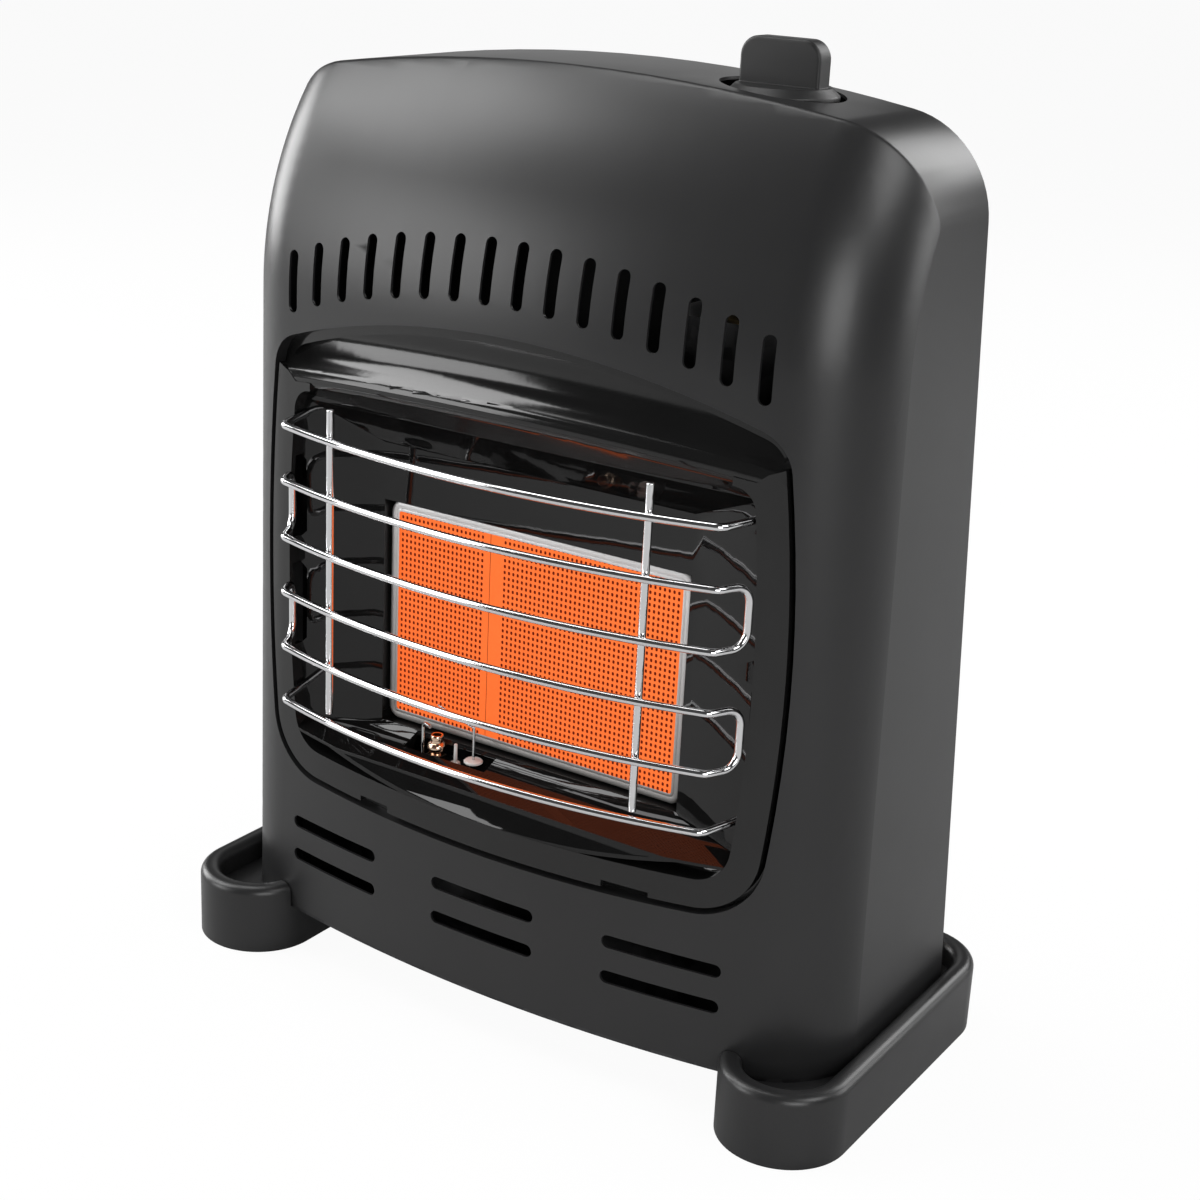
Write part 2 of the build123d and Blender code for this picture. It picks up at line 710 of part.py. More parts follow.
# The lip's lower edge turns down into the side bands through a rounded corner
lip_corner_x = brow_end_x - inner_margin - lip_corner
lip_radius = (brow_end_x**2 + brow_end_drop**2) / (2 * brow_end_drop)
with BuildPart() as lip_corners:
    with BuildSketch(Plane.XZ.offset(-bezel_rear_y)):
        add(opening_outline(inner_margin - bezel_sheet / 2))
        with Locations((0, brow_lip_height - lip_radius)):
            Circle(lip_radius, mode=Mode.INTERSECT)
    extrude(amount=30)
    with BuildSketch(Plane.XZ.offset(-bezel_rear_y)) as lip_window:
        add(opening_outline(inner_margin))
        with Locations((0, brow_lip_height - lip_radius)):
            Circle(lip_radius - lip_below, mode=Mode.INTERSECT)
        fillet(lip_window.vertices().group_by(Axis.Y)[-1], lip_corner)
    extrude(amount=30, mode=Mode.SUBTRACT)
    add(plate((-lip_corner_x, lip_corner_x), (-90, 0), (0, opening_top)), mode=Mode.SUBTRACT)
    add(plate((-brow_end_x, brow_end_x), (-90, 0), (0, brow_lip_height - 3 * lip_corner)), mode=Mode.SUBTRACT)
    add(form_face, mode=Mode.INTERSECT)

with BuildPart() as bezel:
    add(bezel_face.part)
    add(bezel_outer_wall.part)
    add(bezel_inner_wall.part)
    with BuildSketch(Plane.XZ):
        band_inner_x = opening_half_width - inner_margin
        for side in (-1, 1):
            with BuildLine():
                Polyline(
                    (0, brow_lip_height), (side * (band_inner_x - lip_corner), brow_lip_height - lip_corner),
                    (side * band_inner_x, band_top_inner), (side * opening_half_width, band_top_outer),
                    (side * opening_half_width, 2 * brow_lip_height), (0, 2 * brow_lip_height), close=True,
                )
            make_face()
    extrude(amount=90, mode=Mode.SUBTRACT)
    add(lip_corners.part)
    with BuildSketch(Plane.XZ):
        for left, right in clip_notches:
            with Locations(((left + right) / 2, opening_bottom)):
                Rectangle(right - left, 2 * clip_notch_height)
    extrude(amount=90, mode=Mode.SUBTRACT)
    add(bezel_seat_flange.part)
    add(brow.part)
    add(guard_cutter, mode=Mode.SUBTRACT)
save(bezel.part, "bezel")

# ---------------------------------------------------------------- firebox
def firebox_mouth(margin):
    """Front outline of the firebox, closed above by the brow's soffit."""
    with BuildSketch(Plane.XZ.offset(-bezel_rear_y)) as mouth:
        add(opening_outline(margin))
        with Locations((0, firebox_front_top + inner_margin - margin)):
            Rectangle(2 * opening_half_width, opening_top, align=(Align.CENTER, Align.MIN), mode=Mode.SUBTRACT)
    return mouth.sketch


def firebox_throat():
    """Rear outline of the firebox, just clear of the burner frame at the sides and below."""
    with BuildSketch(Plane.XZ.offset(-firebox_rear_y)) as throat:
        with Locations((0, (firebox_rear_top + throat_bottom) / 2)):
            Rectangle(2 * (frame_half_width + frame_gap), firebox_rear_top - throat_bottom)
        fillet(throat.vertices().group_by(Axis.Y)[0], firebox_corner)
    return throat.sketch


def collar_outline(margin):
    """Outline of the collar round the burner frame, moved outwards."""
    gap = frame_gap + margin
    with BuildSketch(Plane.XZ) as collar:
        with Locations((0, frame_centre_z)):
            Rectangle(2 * (frame_half_width + gap), frame_top - frame_bottom + 2 * gap)
    return collar.sketch


throat_bottom = frame_bottom - frame_gap
with BuildPart() as funnel_air:
    loft([firebox_mouth(inner_margin).face(), firebox_throat().face()], ruled=True)
# The floor: a shallow ramp down from the burner, folded down again to the bezel's lower band
ramp_fold = [
    (firebox_rear_y, throat_bottom - bezel_seat), (ramp_front_y, ramp_front_height), (ramp_ledge_y, ramp_ledge_height)
]
ramp_shift = (0.7 * firebox_sheet, -0.9 * firebox_sheet)
with BuildPart() as ramp:
    with BuildSketch(Plane.YZ.offset(-opening_half_width)):
        with BuildLine():
            Polyline(*ramp_fold, *[(y + ramp_shift[0], z + ramp_shift[1]) for y, z in ramp_fold[::-1]], close=True)
        make_face()
    extrude(amount=2 * opening_half_width)
    with BuildSketch(Plane.XZ.offset(-firebox_rear_y - firebox_sheet)):
        add(opening_outline(inner_margin + bezel_seat))
    extrude(amount=50, mode=Mode.INTERSECT)
    with BuildSketch(Plane.XY.offset(ramp_ledge_height - 5)):
        with BuildLine():
            Polyline(
                (ramp_rear_half, 0), (ramp_rear_half, firebox_rear_y), (ramp_front_half, bezel_rear_y),
                (ramp_front_half, 2 * bezel_rear_y), (-ramp_front_half, 2 * bezel_rear_y),
                (-ramp_front_half, bezel_rear_y), (-ramp_rear_half, firebox_rear_y), (-ramp_rear_half, 0),
                close=True,
            )
        make_face()
    extrude(amount=50, mode=Mode.INTERSECT)
    add(form_face, mode=Mode.INTERSECT)
    add(
        plate((pilot_bracket_left - 1, pilot_bracket_right + 1), (pilot_y - 5.5, firebox_rear_y),
              (pilot_hole_bottom, throat_bottom)),
        mode=Mode.SUBTRACT,
    )

with BuildPart() as firebox:
    add(Pos(0, firebox_sheet, 0) * funnel_air.part)
    with BuildSketch(Plane.XZ.offset(-bezel_rear_y)):
        add(firebox_mouth(inner_margin - bezel_sheet))
    extrude(amount=-firebox_sheet)
    add(funnel_air.part, mode=Mode.SUBTRACT)
    add(ramp.part)
    with BuildSketch(Plane.XZ.offset(-firebox_collar_y)):
        add(collar_outline(firebox_sheet))
    extrude(amount=firebox_collar_y - firebox_rear_y)
    with BuildSketch(Plane.XZ.offset(-firebox_collar_y)):
        add(collar_outline(firebox_flange))
    extrude(amount=firebox_sheet)
    with BuildSketch(Plane.XZ.offset(-firebox_collar_y - 5)):
        add(collar_outline(0))
    extrude(amount=30, mode=Mode.SUBTRACT)
    with BuildSketch(Plane.XZ.offset(-firebox_collar_y)):
        with Locations(*plenum_screw_places):
            Circle(screw_radius + screw_fit)
    extrude(amount=2 * firebox_sheet, mode=Mode.SUBTRACT)
    add(guard_cutter, mode=Mode.SUBTRACT)
    with BuildSketch(Plane.XZ.offset(-firebox_collar_y + 3)):
        with Locations(((pilot_bracket_left + pilot_bracket_right) / 2, (pilot_hole_bottom + pilot_hole_top) / 2)):
            Rectangle(pilot_bracket_right - pilot_bracket_left + 2, pilot_hole_top - pilot_hole_bottom)
    extrude(amount=16, mode=Mode.SUBTRACT)
save(firebox.part, "firebox")

# ---------------------------------------------------------------- chassis
chassis_back_y = firebox_collar_y + chassis_sheet
with BuildPart() as chassis:
    with BuildSketch(Plane.XY.offset(pan_top)):
        with Locations((0, firebox_collar_y + chassis_flange / 2)):
            Rectangle(2 * chassis_half_width, chassis_flange)
    extrude(amount=chassis_top - pan_top)
    with BuildSketch(Plane.XY.offset(pan_top + chassis_sheet)):
        with Locations((0, chassis_back_y + chassis_flange / 2)):
            Rectangle(2 * (chassis_half_width - chassis_sheet), chassis_flange)
    extrude(amount=chassis_top - pan_top - 2 * chassis_sheet, mode=Mode.SUBTRACT)
    with BuildSketch(Plane.XZ.offset(-firebox_collar_y)):
        add(collar_outline(0))
        with Locations((pilot_x, line_floor), (electrode_x, lead_floor)):
            Circle(pilot_tube_radius + grommet_fit)
        with Locations(*plenum_screw_places):
            Circle(screw_radius + screw_fit)
    extrude(amount=-chassis_sheet, mode=Mode.SUBTRACT)
    with BuildSketch(Plane.XZ.offset(-firebox_collar_y)):
        for side in (-1, 1):
            with Locations((side * chassis_relief_x, chassis_relief_height)):
                SlotOverall(2.5 * vent_length, 2 * vent_width)
    extrude(amount=-chassis_sheet, mode=Mode.SUBTRACT)
save(chassis.part, "chassis")

# ---------------------------------------------------------------- burner
skirt_inner = frame_sheet + gasket_fit
with BuildPart() as burner_frame:
    with BuildSketch(Plane.XZ.offset(-frame_front_y)) as frame_outline:
        with Locations((0, frame_centre_z)):
            Rectangle(2 * frame_half_width, frame_top - frame_bottom)
        fillet(frame_outline.vertices(), frame_corner)
    extrude(amount=-frame_skirt - frame_sheet)
    fillet(burner_frame.faces().sort_by(Axis.Y)[0].edges(), frame_sheet * 0.9)
    with BuildSketch(Plane.XZ.offset(-frame_front_y - frame_sheet)) as frame_hollow:
        with Locations((0, frame_centre_z)):
            Rectangle(2 * (frame_half_width - frame_sheet), frame_top - frame_bottom - 2 * frame_sheet)
        fillet(frame_hollow.vertices(), frame_corner - frame_sheet)
    extrude(amount=-frame_skirt, mode=Mode.SUBTRACT)
    with BuildSketch(Plane.XZ.offset(-frame_front_y)) as frame_window:
        with Locations((0, frame_centre_z)):
            Rectangle(tile_window_width, tile_window_height)
        fillet(frame_window.vertices(), 2)
    extrude(amount=-frame_sheet, mode=Mode.SUBTRACT)
save(burner_frame.part, "burner_frame")

tile_front_y = frame_front_y + frame_sheet + gasket_fit
tile_back_y = tile_front_y + tile_thickness
tile_half_width = tile_window_width / 2 + tile_edge
tile_half_height = tile_window_height / 2 + tile_edge
tile_z = (frame_centre_z - tile_half_height, frame_centre_z + tile_half_height)
tile_spans = {
    "ceramic_tile_left": (-tile_half_width, tile_joint_x - tile_joint_gap / 2),
    "ceramic_tile_right": (tile_joint_x + tile_joint_gap / 2, tile_half_width),
}
for tile_name, span in tile_spans.items():
    with BuildPart() as tile:
        add(plate(span, (tile_front_y, tile_back_y), tile_z))
        fillet([edge for edge in tile.edges().filter_by(Axis.Y) if abs(edge.center().X) > 60], tile_corner)
        chamfer(tile.faces().sort_by(Axis.Y)[0].edges(), tile_edge / 5)
    save(tile.part, tile_name)


def burner_outline(margin):
    """Outline of the pair of tiles, moved outwards, with its rounded corners."""
    with BuildSketch(Plane.XZ) as outline:
        with Locations((0, frame_centre_z)):
            Rectangle(2 * (tile_half_width + margin), 2 * (tile_half_height + margin))
        if tile_corner + margin > 0:
            fillet(outline.vertices(), tile_corner + margin)
    return outline.sketch


def burner_ring(inner_margin, wall, y_range):
    """Ring round the tiles, between two depths."""
    inner = burner_outline(inner_margin)
    outer = burner_outline(inner_margin + wall)
    with BuildPart() as ring:
        with BuildSketch(Plane.XZ.offset(-y_range[0])):
            add(outer)
            add(inner, mode=Mode.SUBTRACT)
        extrude(amount=y_range[0] - y_range[1])
    return ring.part


save(burner_ring(gasket_fit, gasket_thickness, (tile_front_y, tile_back_y - 1)), "tile_gasket")

plenum_inner = 2 * gasket_fit + gasket_thickness
plenum_back_y = tile_front_y + plenum_depth
with BuildPart() as burner_plenum:
    add(burner_ring(plenum_inner, plenum_sheet, (tile_front_y, plenum_back_y)))
    add(burner_ring(-plenum_ledge, plenum_ledge + plenum_inner, (tile_back_y, tile_back_y + plenum_sheet)))
    add(burner_ring(plenum_inner, plenum_flange, (chassis_back_y, chassis_back_y + plenum_sheet)))
    with BuildSketch(Plane.XZ.offset(-plenum_back_y)):
        add(burner_outline(plenum_inner + plenum_sheet))
        with Locations((mixer_end_x + mixer_saddle_length, mixer_height)):
            Rectangle(mixer_saddle_length, mixer_saddle_height, mode=Mode.SUBTRACT)
    extrude(amount=plenum_sheet)
    with BuildSketch(Plane.XZ.offset(-chassis_back_y)):
        with Locations(*plenum_screw_places):
            Circle(screw_radius + running_fit)
    extrude(amount=-plenum_sheet, mode=Mode.SUBTRACT)
save(burner_plenum.part, "burner_plenum")

mixer_y = plenum_back_y + mixer_radius + gasket_fit
mixer_line = Plane(origin=(0, mixer_y, mixer_height), x_dir=(1, 0, 0), z_dir=(0, -1, 0))
with BuildPart() as mixing_tube:
    with BuildSketch(mixer_line):
        with BuildLine():
            Polyline(
                (mixer_end_x, 0), (mixer_end_x, mixer_radius), (mixer_mouth_x - mixer_bell, mixer_radius),
                (mixer_mouth_x, mixer_mouth_radius), (mixer_mouth_x, mixer_mouth_radius - mixer_wall),
                (mixer_mouth_x - mixer_bell, mixer_radius - mixer_wall),
                (mixer_end_x + mixer_wall, mixer_radius - mixer_wall), (mixer_end_x + mixer_wall, 0), close=True,
            )
        make_face()
    revolve(axis=Axis((0, mixer_y, mixer_height), (1, 0, 0)))
    with BuildSketch(Plane.XZ.offset(-plenum_back_y - gasket_fit)):
        with Locations((mixer_end_x + mixer_saddle_length, mixer_height)):
            Rectangle(mixer_saddle_length + 2 * mixer_wall, mixer_saddle_height + 2 * mixer_wall)
    extrude(amount=-mixer_radius / 2)
    with BuildSketch(Plane.XZ.offset(-plenum_back_y - gasket_fit)):
        with Locations((mixer_end_x + mixer_saddle_length, mixer_height)):
            Rectangle(mixer_saddle_length, mixer_saddle_height)
    extrude(amount=-mixer_radius, mode=Mode.SUBTRACT)
    with BuildSketch(mixer_line):
        with BuildLine():
            Polyline(
                (mixer_end_x + mixer_wall, 0), (mixer_end_x + mixer_wall, mixer_radius - mixer_wall),
                (mixer_end_x + 3 * mixer_saddle_length, mixer_radius - mixer_wall),
                (mixer_end_x + 3 * mixer_saddle_length, 0), close=True,
            )
        make_face()
    revolve(axis=Axis((0, mixer_y, mixer_height), (1, 0, 0)), mode=Mode.SUBTRACT)
save(mixing_tube.part, "mixing_tube")

# The injector screws into its holder and points into the mouth of the mixing tube
with BuildPart() as injector:
    with BuildSketch(Plane.YZ.offset(holder_x)):
        with Locations((mixer_y, mixer_height)):
            RegularPolygon(injector_hex / 2, 6, major_radius=False)
    extrude(amount=-injector_hex_length)
    with Locations(Plane.YZ.offset(holder_x - injector_hex_length).shift_origin(
            (holder_x - injector_hex_length, mixer_y, mixer_height))):
        Cone(injector_hex / 2 - 1, injector_tip, injector_nose, rotation=(180, 0, 0),
             align=(Align.CENTER, Align.CENTER, Align.MIN))
        Hole(injector_tip / 3)
save(injector.part, "injector")

with BuildPart() as injector_holder:
    add(plate((holder_x, holder_x + holder_size), (mixer_y - holder_size / 2, mixer_y + holder_size / 2),
              (mixer_height - holder_size / 2, mixer_height + holder_size / 2)))
    chamfer(injector_holder.edges().filter_by(Axis.X), 2)
    add(plate((holder_x + 3, holder_x + holder_size - 3), (chassis_back_y, mixer_y - holder_size / 2 + 1),
              (mixer_height - 2, mixer_height + 2)))
    add(plate((holder_x, holder_x + holder_size - 3), (chassis_back_y, chassis_back_y + bracket_sheet),
              (mixer_height - holder_size, mixer_height + holder_size)))
save(injector_holder.part, "injector_holder")

# ---------------------------------------------------------------- guard
def guard_bar_path(height, end_x, end_y, shorten=0.0):
    """Bowed bar with its ends turned back towards the firebox; returns the path."""
    end = Vector(end_x, end_y)
    kink = Vector(guard_kink_x, guard_kink_y)
    end = end - (end - kink).normalized() * shorten
    with BuildLine(Plane.XY.offset(height)) as path:
        left = Line((-end.X, end.Y), (-kink.X, kink.Y))
        bow = ThreePointArc(left @ 1, (0, guard_front_y), (kink.X, kink.Y))
        Line(bow @ 1, (end.X, end.Y))
        fillet([v for v in path.vertices() if abs(abs(v.X) - guard_kink_x) < 0.001], guard_kink_radius)
    return path.line


def guard_loop_end(low, high, side):
    """Rounded end that joins two bars behind the kinks."""
    corner = Vector(side * guard_loop_x, guard_loop_y)
    leg = (corner - Vector(side * guard_kink_x, guard_kink_y)).normalized()
    start = corner - leg * loop_leg
    points = [
        (start.X, start.Y, high), (corner.X, corner.Y, high), (corner.X, corner.Y, low), (start.X, start.Y, low)
    ]
    return run_tube(points, guard_loop_radius, wire / 2)


def wire_along(path):
    """Round wire along a path."""
    with BuildPart() as bar:
        with BuildSketch(Plane(origin=path @ 0, z_dir=path % 0)):
            Circle(wire / 2)
        sweep(path=path)
    return bar.part


for bar_name, height in (("guard_bottom_bar", guard_bar_heights[0]), ("guard_top_bar", guard_bar_heights[-1])):
    save(wire_along(guard_bar_path(height, guard_end_x, guard_end_y)), bar_name)
for loop_name, low, high in (
    ("guard_lower_loop", guard_bar_heights[1], guard_bar_heights[2]),
    ("guard_upper_loop", guard_bar_heights[3], guard_bar_heights[4]),
):
    with BuildPart() as guard_loop:
        for height in (low, high):
            add(wire_along(guard_bar_path(height, guard_loop_x, guard_loop_y, loop_leg)))
        for side in (-1, 1):
            add(guard_loop_end(low, high, side))
    save(guard_loop.part, loop_name)

rod_slope = asin(guard_rod_x / guard_bow_radius)
rod_bar_y = guard_front_y + guard_bow_radius * (1 - cos(rod_slope))
rod_y = rod_bar_y + (wire + weld_gap) / cos(rod_slope)
for rod_name, side in (("guard_left_rod", -1), ("guard_right_rod", 1)):
    with BuildPart() as rod:
        with BuildSketch(Plane.XY.offset(guard_rod_bottom)):
            with Locations((side * guard_rod_x, rod_y)):
                Circle(wire / 2)
        extrude(amount=guard_rod_top - guard_rod_bottom)
        fillet(rod.edges().filter_by(GeomType.CIRCLE), wire / 6)
    save(rod.part, rod_name)

# ---------------------------------------------------------------- control knob and valve
knob_plane = Plane(origin=(knob_x, knob_y, 0), x_dir=(1, 0, 0), z_dir=(0, -1, 0))
knob_axis = Axis((knob_x, knob_y, 0), (0, 0, 1))
skirt_top = knob_bottom + knob_skirt_height
with BuildPart() as control_knob:
    with BuildSketch(knob_plane):
        with BuildLine():
            Polyline(
                (0, hub_bottom), (hub_radius, hub_bottom), (hub_radius, knob_bottom + 1.6),
                (knob_skirt_radius - 1.8, knob_bottom + 1.6), (knob_skirt_radius - 1.8, knob_bottom),
                (knob_skirt_radius, knob_bottom), (knob_skirt_radius, knob_bottom + knob_skirt_edge),
                (knob_skirt_top_radius, skirt_top), (0, skirt_top), close=True,
            )
        make_face()
    revolve(axis=knob_axis)
    with BuildSketch(knob_plane.offset(-blade_width / 2)) as blade:
        with Locations((0, (skirt_top + knob_top) / 2 - 0.5)):
            Rectangle(blade_length, knob_top - skirt_top + 1)
        fillet(blade.vertices().group_by(Axis.Y)[-1], blade_corner)
    extrude(amount=blade_width)
    crown = [
        edge for edge in control_knob.edges()
        if edge.center().Z > skirt_top + 3 and abs(abs(edge.center().Y - knob_y) - blade_width / 2) < 0.01
    ]
    fillet(crown, blade_round)
    with Locations((knob_x, knob_y, hub_bottom)):
        Cylinder(stem_radius + running_fit, stem_top - hub_bottom + running_fit, mode=Mode.SUBTRACT,
                 align=(Align.CENTER, Align.CENTER, Align.MIN))
save(control_knob.part, "control_knob")

with BuildPart() as valve_stem:
    with Locations((knob_x, knob_y, stem_bottom)):
        Cylinder(stem_radius, stem_top - stem_bottom, align=(Align.CENTER, Align.CENTER, Align.MIN))
    chamfer(valve_stem.edges().filter_by(GeomType.CIRCLE), 0.5)
save(valve_stem.part, "valve_stem")

with BuildPart() as spring_washer:
    with Locations((knob_x, knob_y, washer_bottom)):
        Cylinder(washer_radius, washer_thickness, align=(Align.CENTER, Align.CENTER, Align.MIN))
        Cylinder(stem_radius + running_fit, 3 * washer_thickness, mode=Mode.SUBTRACT)
save(spring_washer.part, "spring_washer")

coil_height = spring_height - 2 * spring_wire - 2 * running_fit
coil_start = bonnet_top + spring_wire + running_fit
with BuildPart() as return_spring:
    coil = Helix(coil_height / spring_turns, coil_height, spring_radius, center=(knob_x, knob_y, coil_start))
    with BuildSketch(Plane(origin=coil @ 0, z_dir=coil % 0)):
        Circle(spring_wire)
    sweep(path=coil, is_frenet=True)
save(return_spring.part, "return_spring")

with BuildPart() as gas_valve:
    with Locations((knob_x, knob_y, valve_bottom)):
        Box(valve_width, valve_depth, valve_body_height, align=(Align.CENTER, Align.CENTER, Align.MIN))
    chamfer(gas_valve.edges(), 2)
    with Locations((knob_x, knob_y, valve_top)):
        Cylinder(bonnet_radius, bonnet_height, align=(Align.CENTER, Align.CENTER, Align.MIN))
    with Locations(Plane.YZ.offset(knob_x - valve_width / 2 - port_length).shift_origin(
            (knob_x - valve_width / 2 - port_length, mixer_y, port_height))):
        Cylinder(port_radius, valve_width + 2 * port_length, align=(Align.CENTER, Align.CENTER, Align.MIN))
    with Locations((knob_x, knob_y, stem_bottom - press_travel - 1)):
        Cylinder(stem_radius + running_fit, knob_top, mode=Mode.SUBTRACT,
                 align=(Align.CENTER, Align.CENTER, Align.MIN))
save(gas_valve.part, "gas_valve")

bracket_top = valve_bottom
with BuildPart() as valve_bracket:
    left, right = knob_x - bracket_half_width, knob_x + bracket_half_width
    add(plate((left, right), (firebox_collar_y, firebox_collar_y + chassis_flange),
              (chassis_top, chassis_top + bracket_sheet)))
    add(plate((left, right), (firebox_collar_y, firebox_collar_y + bracket_sheet), (chassis_top, bracket_top)))
    add(plate((left, right), (firebox_collar_y, knob_y + valve_depth / 2),
              (bracket_top - bracket_sheet, bracket_top)))
    with Locations((supply_port_x, knob_y, bracket_top)):
        Cylinder(supply_radius + grommet_fit, 4 * bracket_sheet, mode=Mode.SUBTRACT)
save(valve_bracket.part, "valve_bracket")

# ---------------------------------------------------------------- gas lines
def back_y(height):
    """Depth of the back plane at a height above the floor."""
    return back_foot_y - (height - recess_floor) * lean_slope


fitting_front_y = back_y(inlet_height) - inlet_spigot
supply_points = [
    (supply_port_x, knob_y, valve_bottom - running_fit), (supply_port_x, knob_y, supply_turn_height),
    (inlet_x, supply_y, supply_turn_height), (inlet_x, supply_y, inlet_height),
    (inlet_x, fitting_front_y - running_fit, inlet_height),
]
save(run_tube(supply_points, supply_bend, supply_radius, supply_radius - tube_wall), "supply_tube")

burner_port_x = knob_x + valve_width / 2 + port_length
burner_line_points = [
    (burner_port_x + running_fit, mixer_y, port_height), (burner_tube_x, mixer_y, port_height),
    (burner_tube_x, mixer_y, mixer_height + holder_size / 2 + running_fit),
]
save(run_tube(burner_line_points, burner_bend, burner_tube_radius, burner_tube_radius - tube_wall), "burner_tube")

pilot_port_x = knob_x - valve_width / 2 - port_length
pilot_line_points = [
    (pilot_port_x - running_fit, mixer_y, port_height), (pilot_drop_x, mixer_y, port_height),
    (pilot_drop_x, line_back_y, port_height - 24), (pilot_drop_x, line_back_y, line_floor),
    (pilot_x, line_back_y, line_floor), (pilot_x, pilot_y, line_floor),
    (pilot_x, pilot_y, pilot_bracket_height - running_fit),
]
save(run_tube(pilot_line_points, pilot_bend, pilot_tube_radius), "pilot_tube")

lead_points = [
    (lead_start_x, knob_y + valve_depth / 2 + running_fit, lead_start_height),
    (lead_start_x, lead_back_y, lead_start_height), (lead_start_x, lead_back_y, lead_floor),
    (electrode_x, lead_back_y, lead_floor), (electrode_x, pilot_y, lead_floor),
    (electrode_x, pilot_y, electrode_bottom - running_fit),
]
save(run_tube(lead_points, pilot_bend, lead_radius), "ignition_lead")

hex_front_y = back_y(inlet_height) + inlet_hex * 0.6 * lean_slope + running_fit
inlet_plane = Plane(origin=(inlet_x, fitting_front_y, inlet_height), x_dir=(1, 0, 0), z_dir=(0, 1, 0))
with BuildPart() as inlet_fitting:
    with BuildSketch(inlet_plane):
        Circle(inlet_neck_radius)
    extrude(amount=hex_front_y - fitting_front_y)
    with BuildSketch(inlet_plane.offset(hex_front_y - fitting_front_y)):
        RegularPolygon(inlet_hex / 2, 6, major_radius=False)
    extrude(amount=inlet_hex_length)
    with BuildSketch(inlet_plane.offset(hex_front_y - fitting_front_y + inlet_hex_length)):
        Circle(inlet_radius)
    extrude(amount=inlet_thread)
    chamfer(inlet_fitting.faces().sort_by(Axis.Y)[-1].edges(), 1.2)
    with BuildSketch(inlet_plane):
        Circle(inlet_bore)
    extrude(amount=2 * back_foot_y, mode=Mode.SUBTRACT)
save(inlet_fitting.part, "inlet_fitting")

# ---------------------------------------------------------------- pilot group
bracket_low = pilot_bracket_height - 8
with BuildPart() as pilot_bracket:
    add(plate((pilot_bracket_left, pilot_bracket_right), (pilot_y - 5, firebox_collar_y - firebox_sheet),
              (pilot_bracket_height, pilot_bracket_height + chassis_sheet)))
    add(plate((pilot_bracket_left, pilot_bracket_right),
              (firebox_collar_y - firebox_sheet - chassis_sheet, firebox_collar_y - firebox_sheet),
              (bracket_low, pilot_bracket_height + chassis_sheet)))
    with Locations((electrode_x, pilot_y, pilot_bracket_height)):
        Cylinder(electrode_radius + running_fit, 4 * chassis_sheet, mode=Mode.SUBTRACT)
    with Locations((thermocouple_x, pilot_y, pilot_bracket_height)):
        Cylinder(thermocouple_radius + running_fit, 4 * chassis_sheet, mode=Mode.SUBTRACT)
save(pilot_bracket.part, "pilot_bracket")

bracket_face = pilot_bracket_height + chassis_sheet
with BuildPart() as pilot_burner:
    with BuildSketch(Plane.XY.offset(bracket_face)):
        with Locations((pilot_x, pilot_y)):
            RegularPolygon(pilot_radius, 6)
    extrude(amount=(pilot_top - bracket_face) * 0.45)
    with Locations((pilot_x, pilot_y, bracket_face)):
        Cylinder(pilot_radius * 0.7, pilot_top - bracket_face, align=(Align.CENTER, Align.CENTER, Align.MIN))
    with Locations((pilot_x, pilot_y, pilot_top - 2)):
        Cylinder(pilot_radius * 0.95, 2, align=(Align.CENTER, Align.CENTER, Align.MIN))
    with Locations((pilot_x, pilot_y, pilot_top)):
        Cylinder(pilot_radius * 0.4, 6, mode=Mode.SUBTRACT)
save(pilot_burner.part, "pilot_burner")

hood_points = [
    (pilot_x - pilot_radius - 3.2, pilot_y, bracket_face), (pilot_x - pilot_radius - 3.2, pilot_y, hood_top),
    (pilot_x - pilot_radius - 3.2 + 5, pilot_y - 2, hood_top),
]
save(run_tube(hood_points, 2.0, hood_wire), "pilot_shield_wire")

with BuildPart() as spark_electrode:
    with Locations((electrode_x, pilot_y, electrode_bottom)):
        Cylinder(electrode_radius, electrode_top - electrode_bottom, align=(Align.CENTER, Align.CENTER, Align.MIN))
    with Locations((electrode_x, pilot_y, electrode_top)):
        Cylinder(electrode_radius * 0.35, 8, align=(Align.CENTER, Align.CENTER, Align.MIN))
save(spark_electrode.part, "spark_electrode")

with BuildPart() as thermocouple:
    with Locations((thermocouple_x, pilot_y, electrode_bottom)):
        Cylinder(thermocouple_radius, thermocouple_top - electrode_bottom,
                 align=(Align.CENTER, Align.CENTER, Align.MIN))
    with Locations((thermocouple_x, pilot_y, bracket_face)):
        Cylinder(thermocouple_radius * 2.6, 2.2, align=(Align.CENTER, Align.CENTER, Align.MIN))
    fillet(thermocouple.edges().sort_by(Axis.Z)[-1], thermocouple_radius * 0.7)
save(thermocouple.part, "thermocouple")

# ---------------------------------------------------------------- heat shield, tip-over switch, screws
with BuildPart() as heat_shield:
    add(plate((-shield_half_width, shield_right), (firebox_collar_y, shield_back_y),
              (chassis_top, chassis_top + chassis_sheet)))
    add(plate((-shield_half_width, shield_right), (shield_back_y - chassis_sheet, shield_back_y),
              (chassis_top - chassis_flange, chassis_top + chassis_sheet)))
save(heat_shield.part, "heat_shield")

with BuildPart() as tip_over_switch:
    with Locations((switch_x, switch_y, pan_top)):
        Box(*switch_size, align=(Align.CENTER, Align.CENTER, Align.MIN))
    fillet(tip_over_switch.edges().filter_by(Axis.Z), 3)
    with Locations((switch_x, switch_y, pan_top + switch_size[2])):
        Cylinder(switch_size[1] / 3, switch_size[2] / 3, align=(Align.CENTER, Align.CENTER, Align.MIN))
save(tip_over_switch.part, "tip_over_switch")

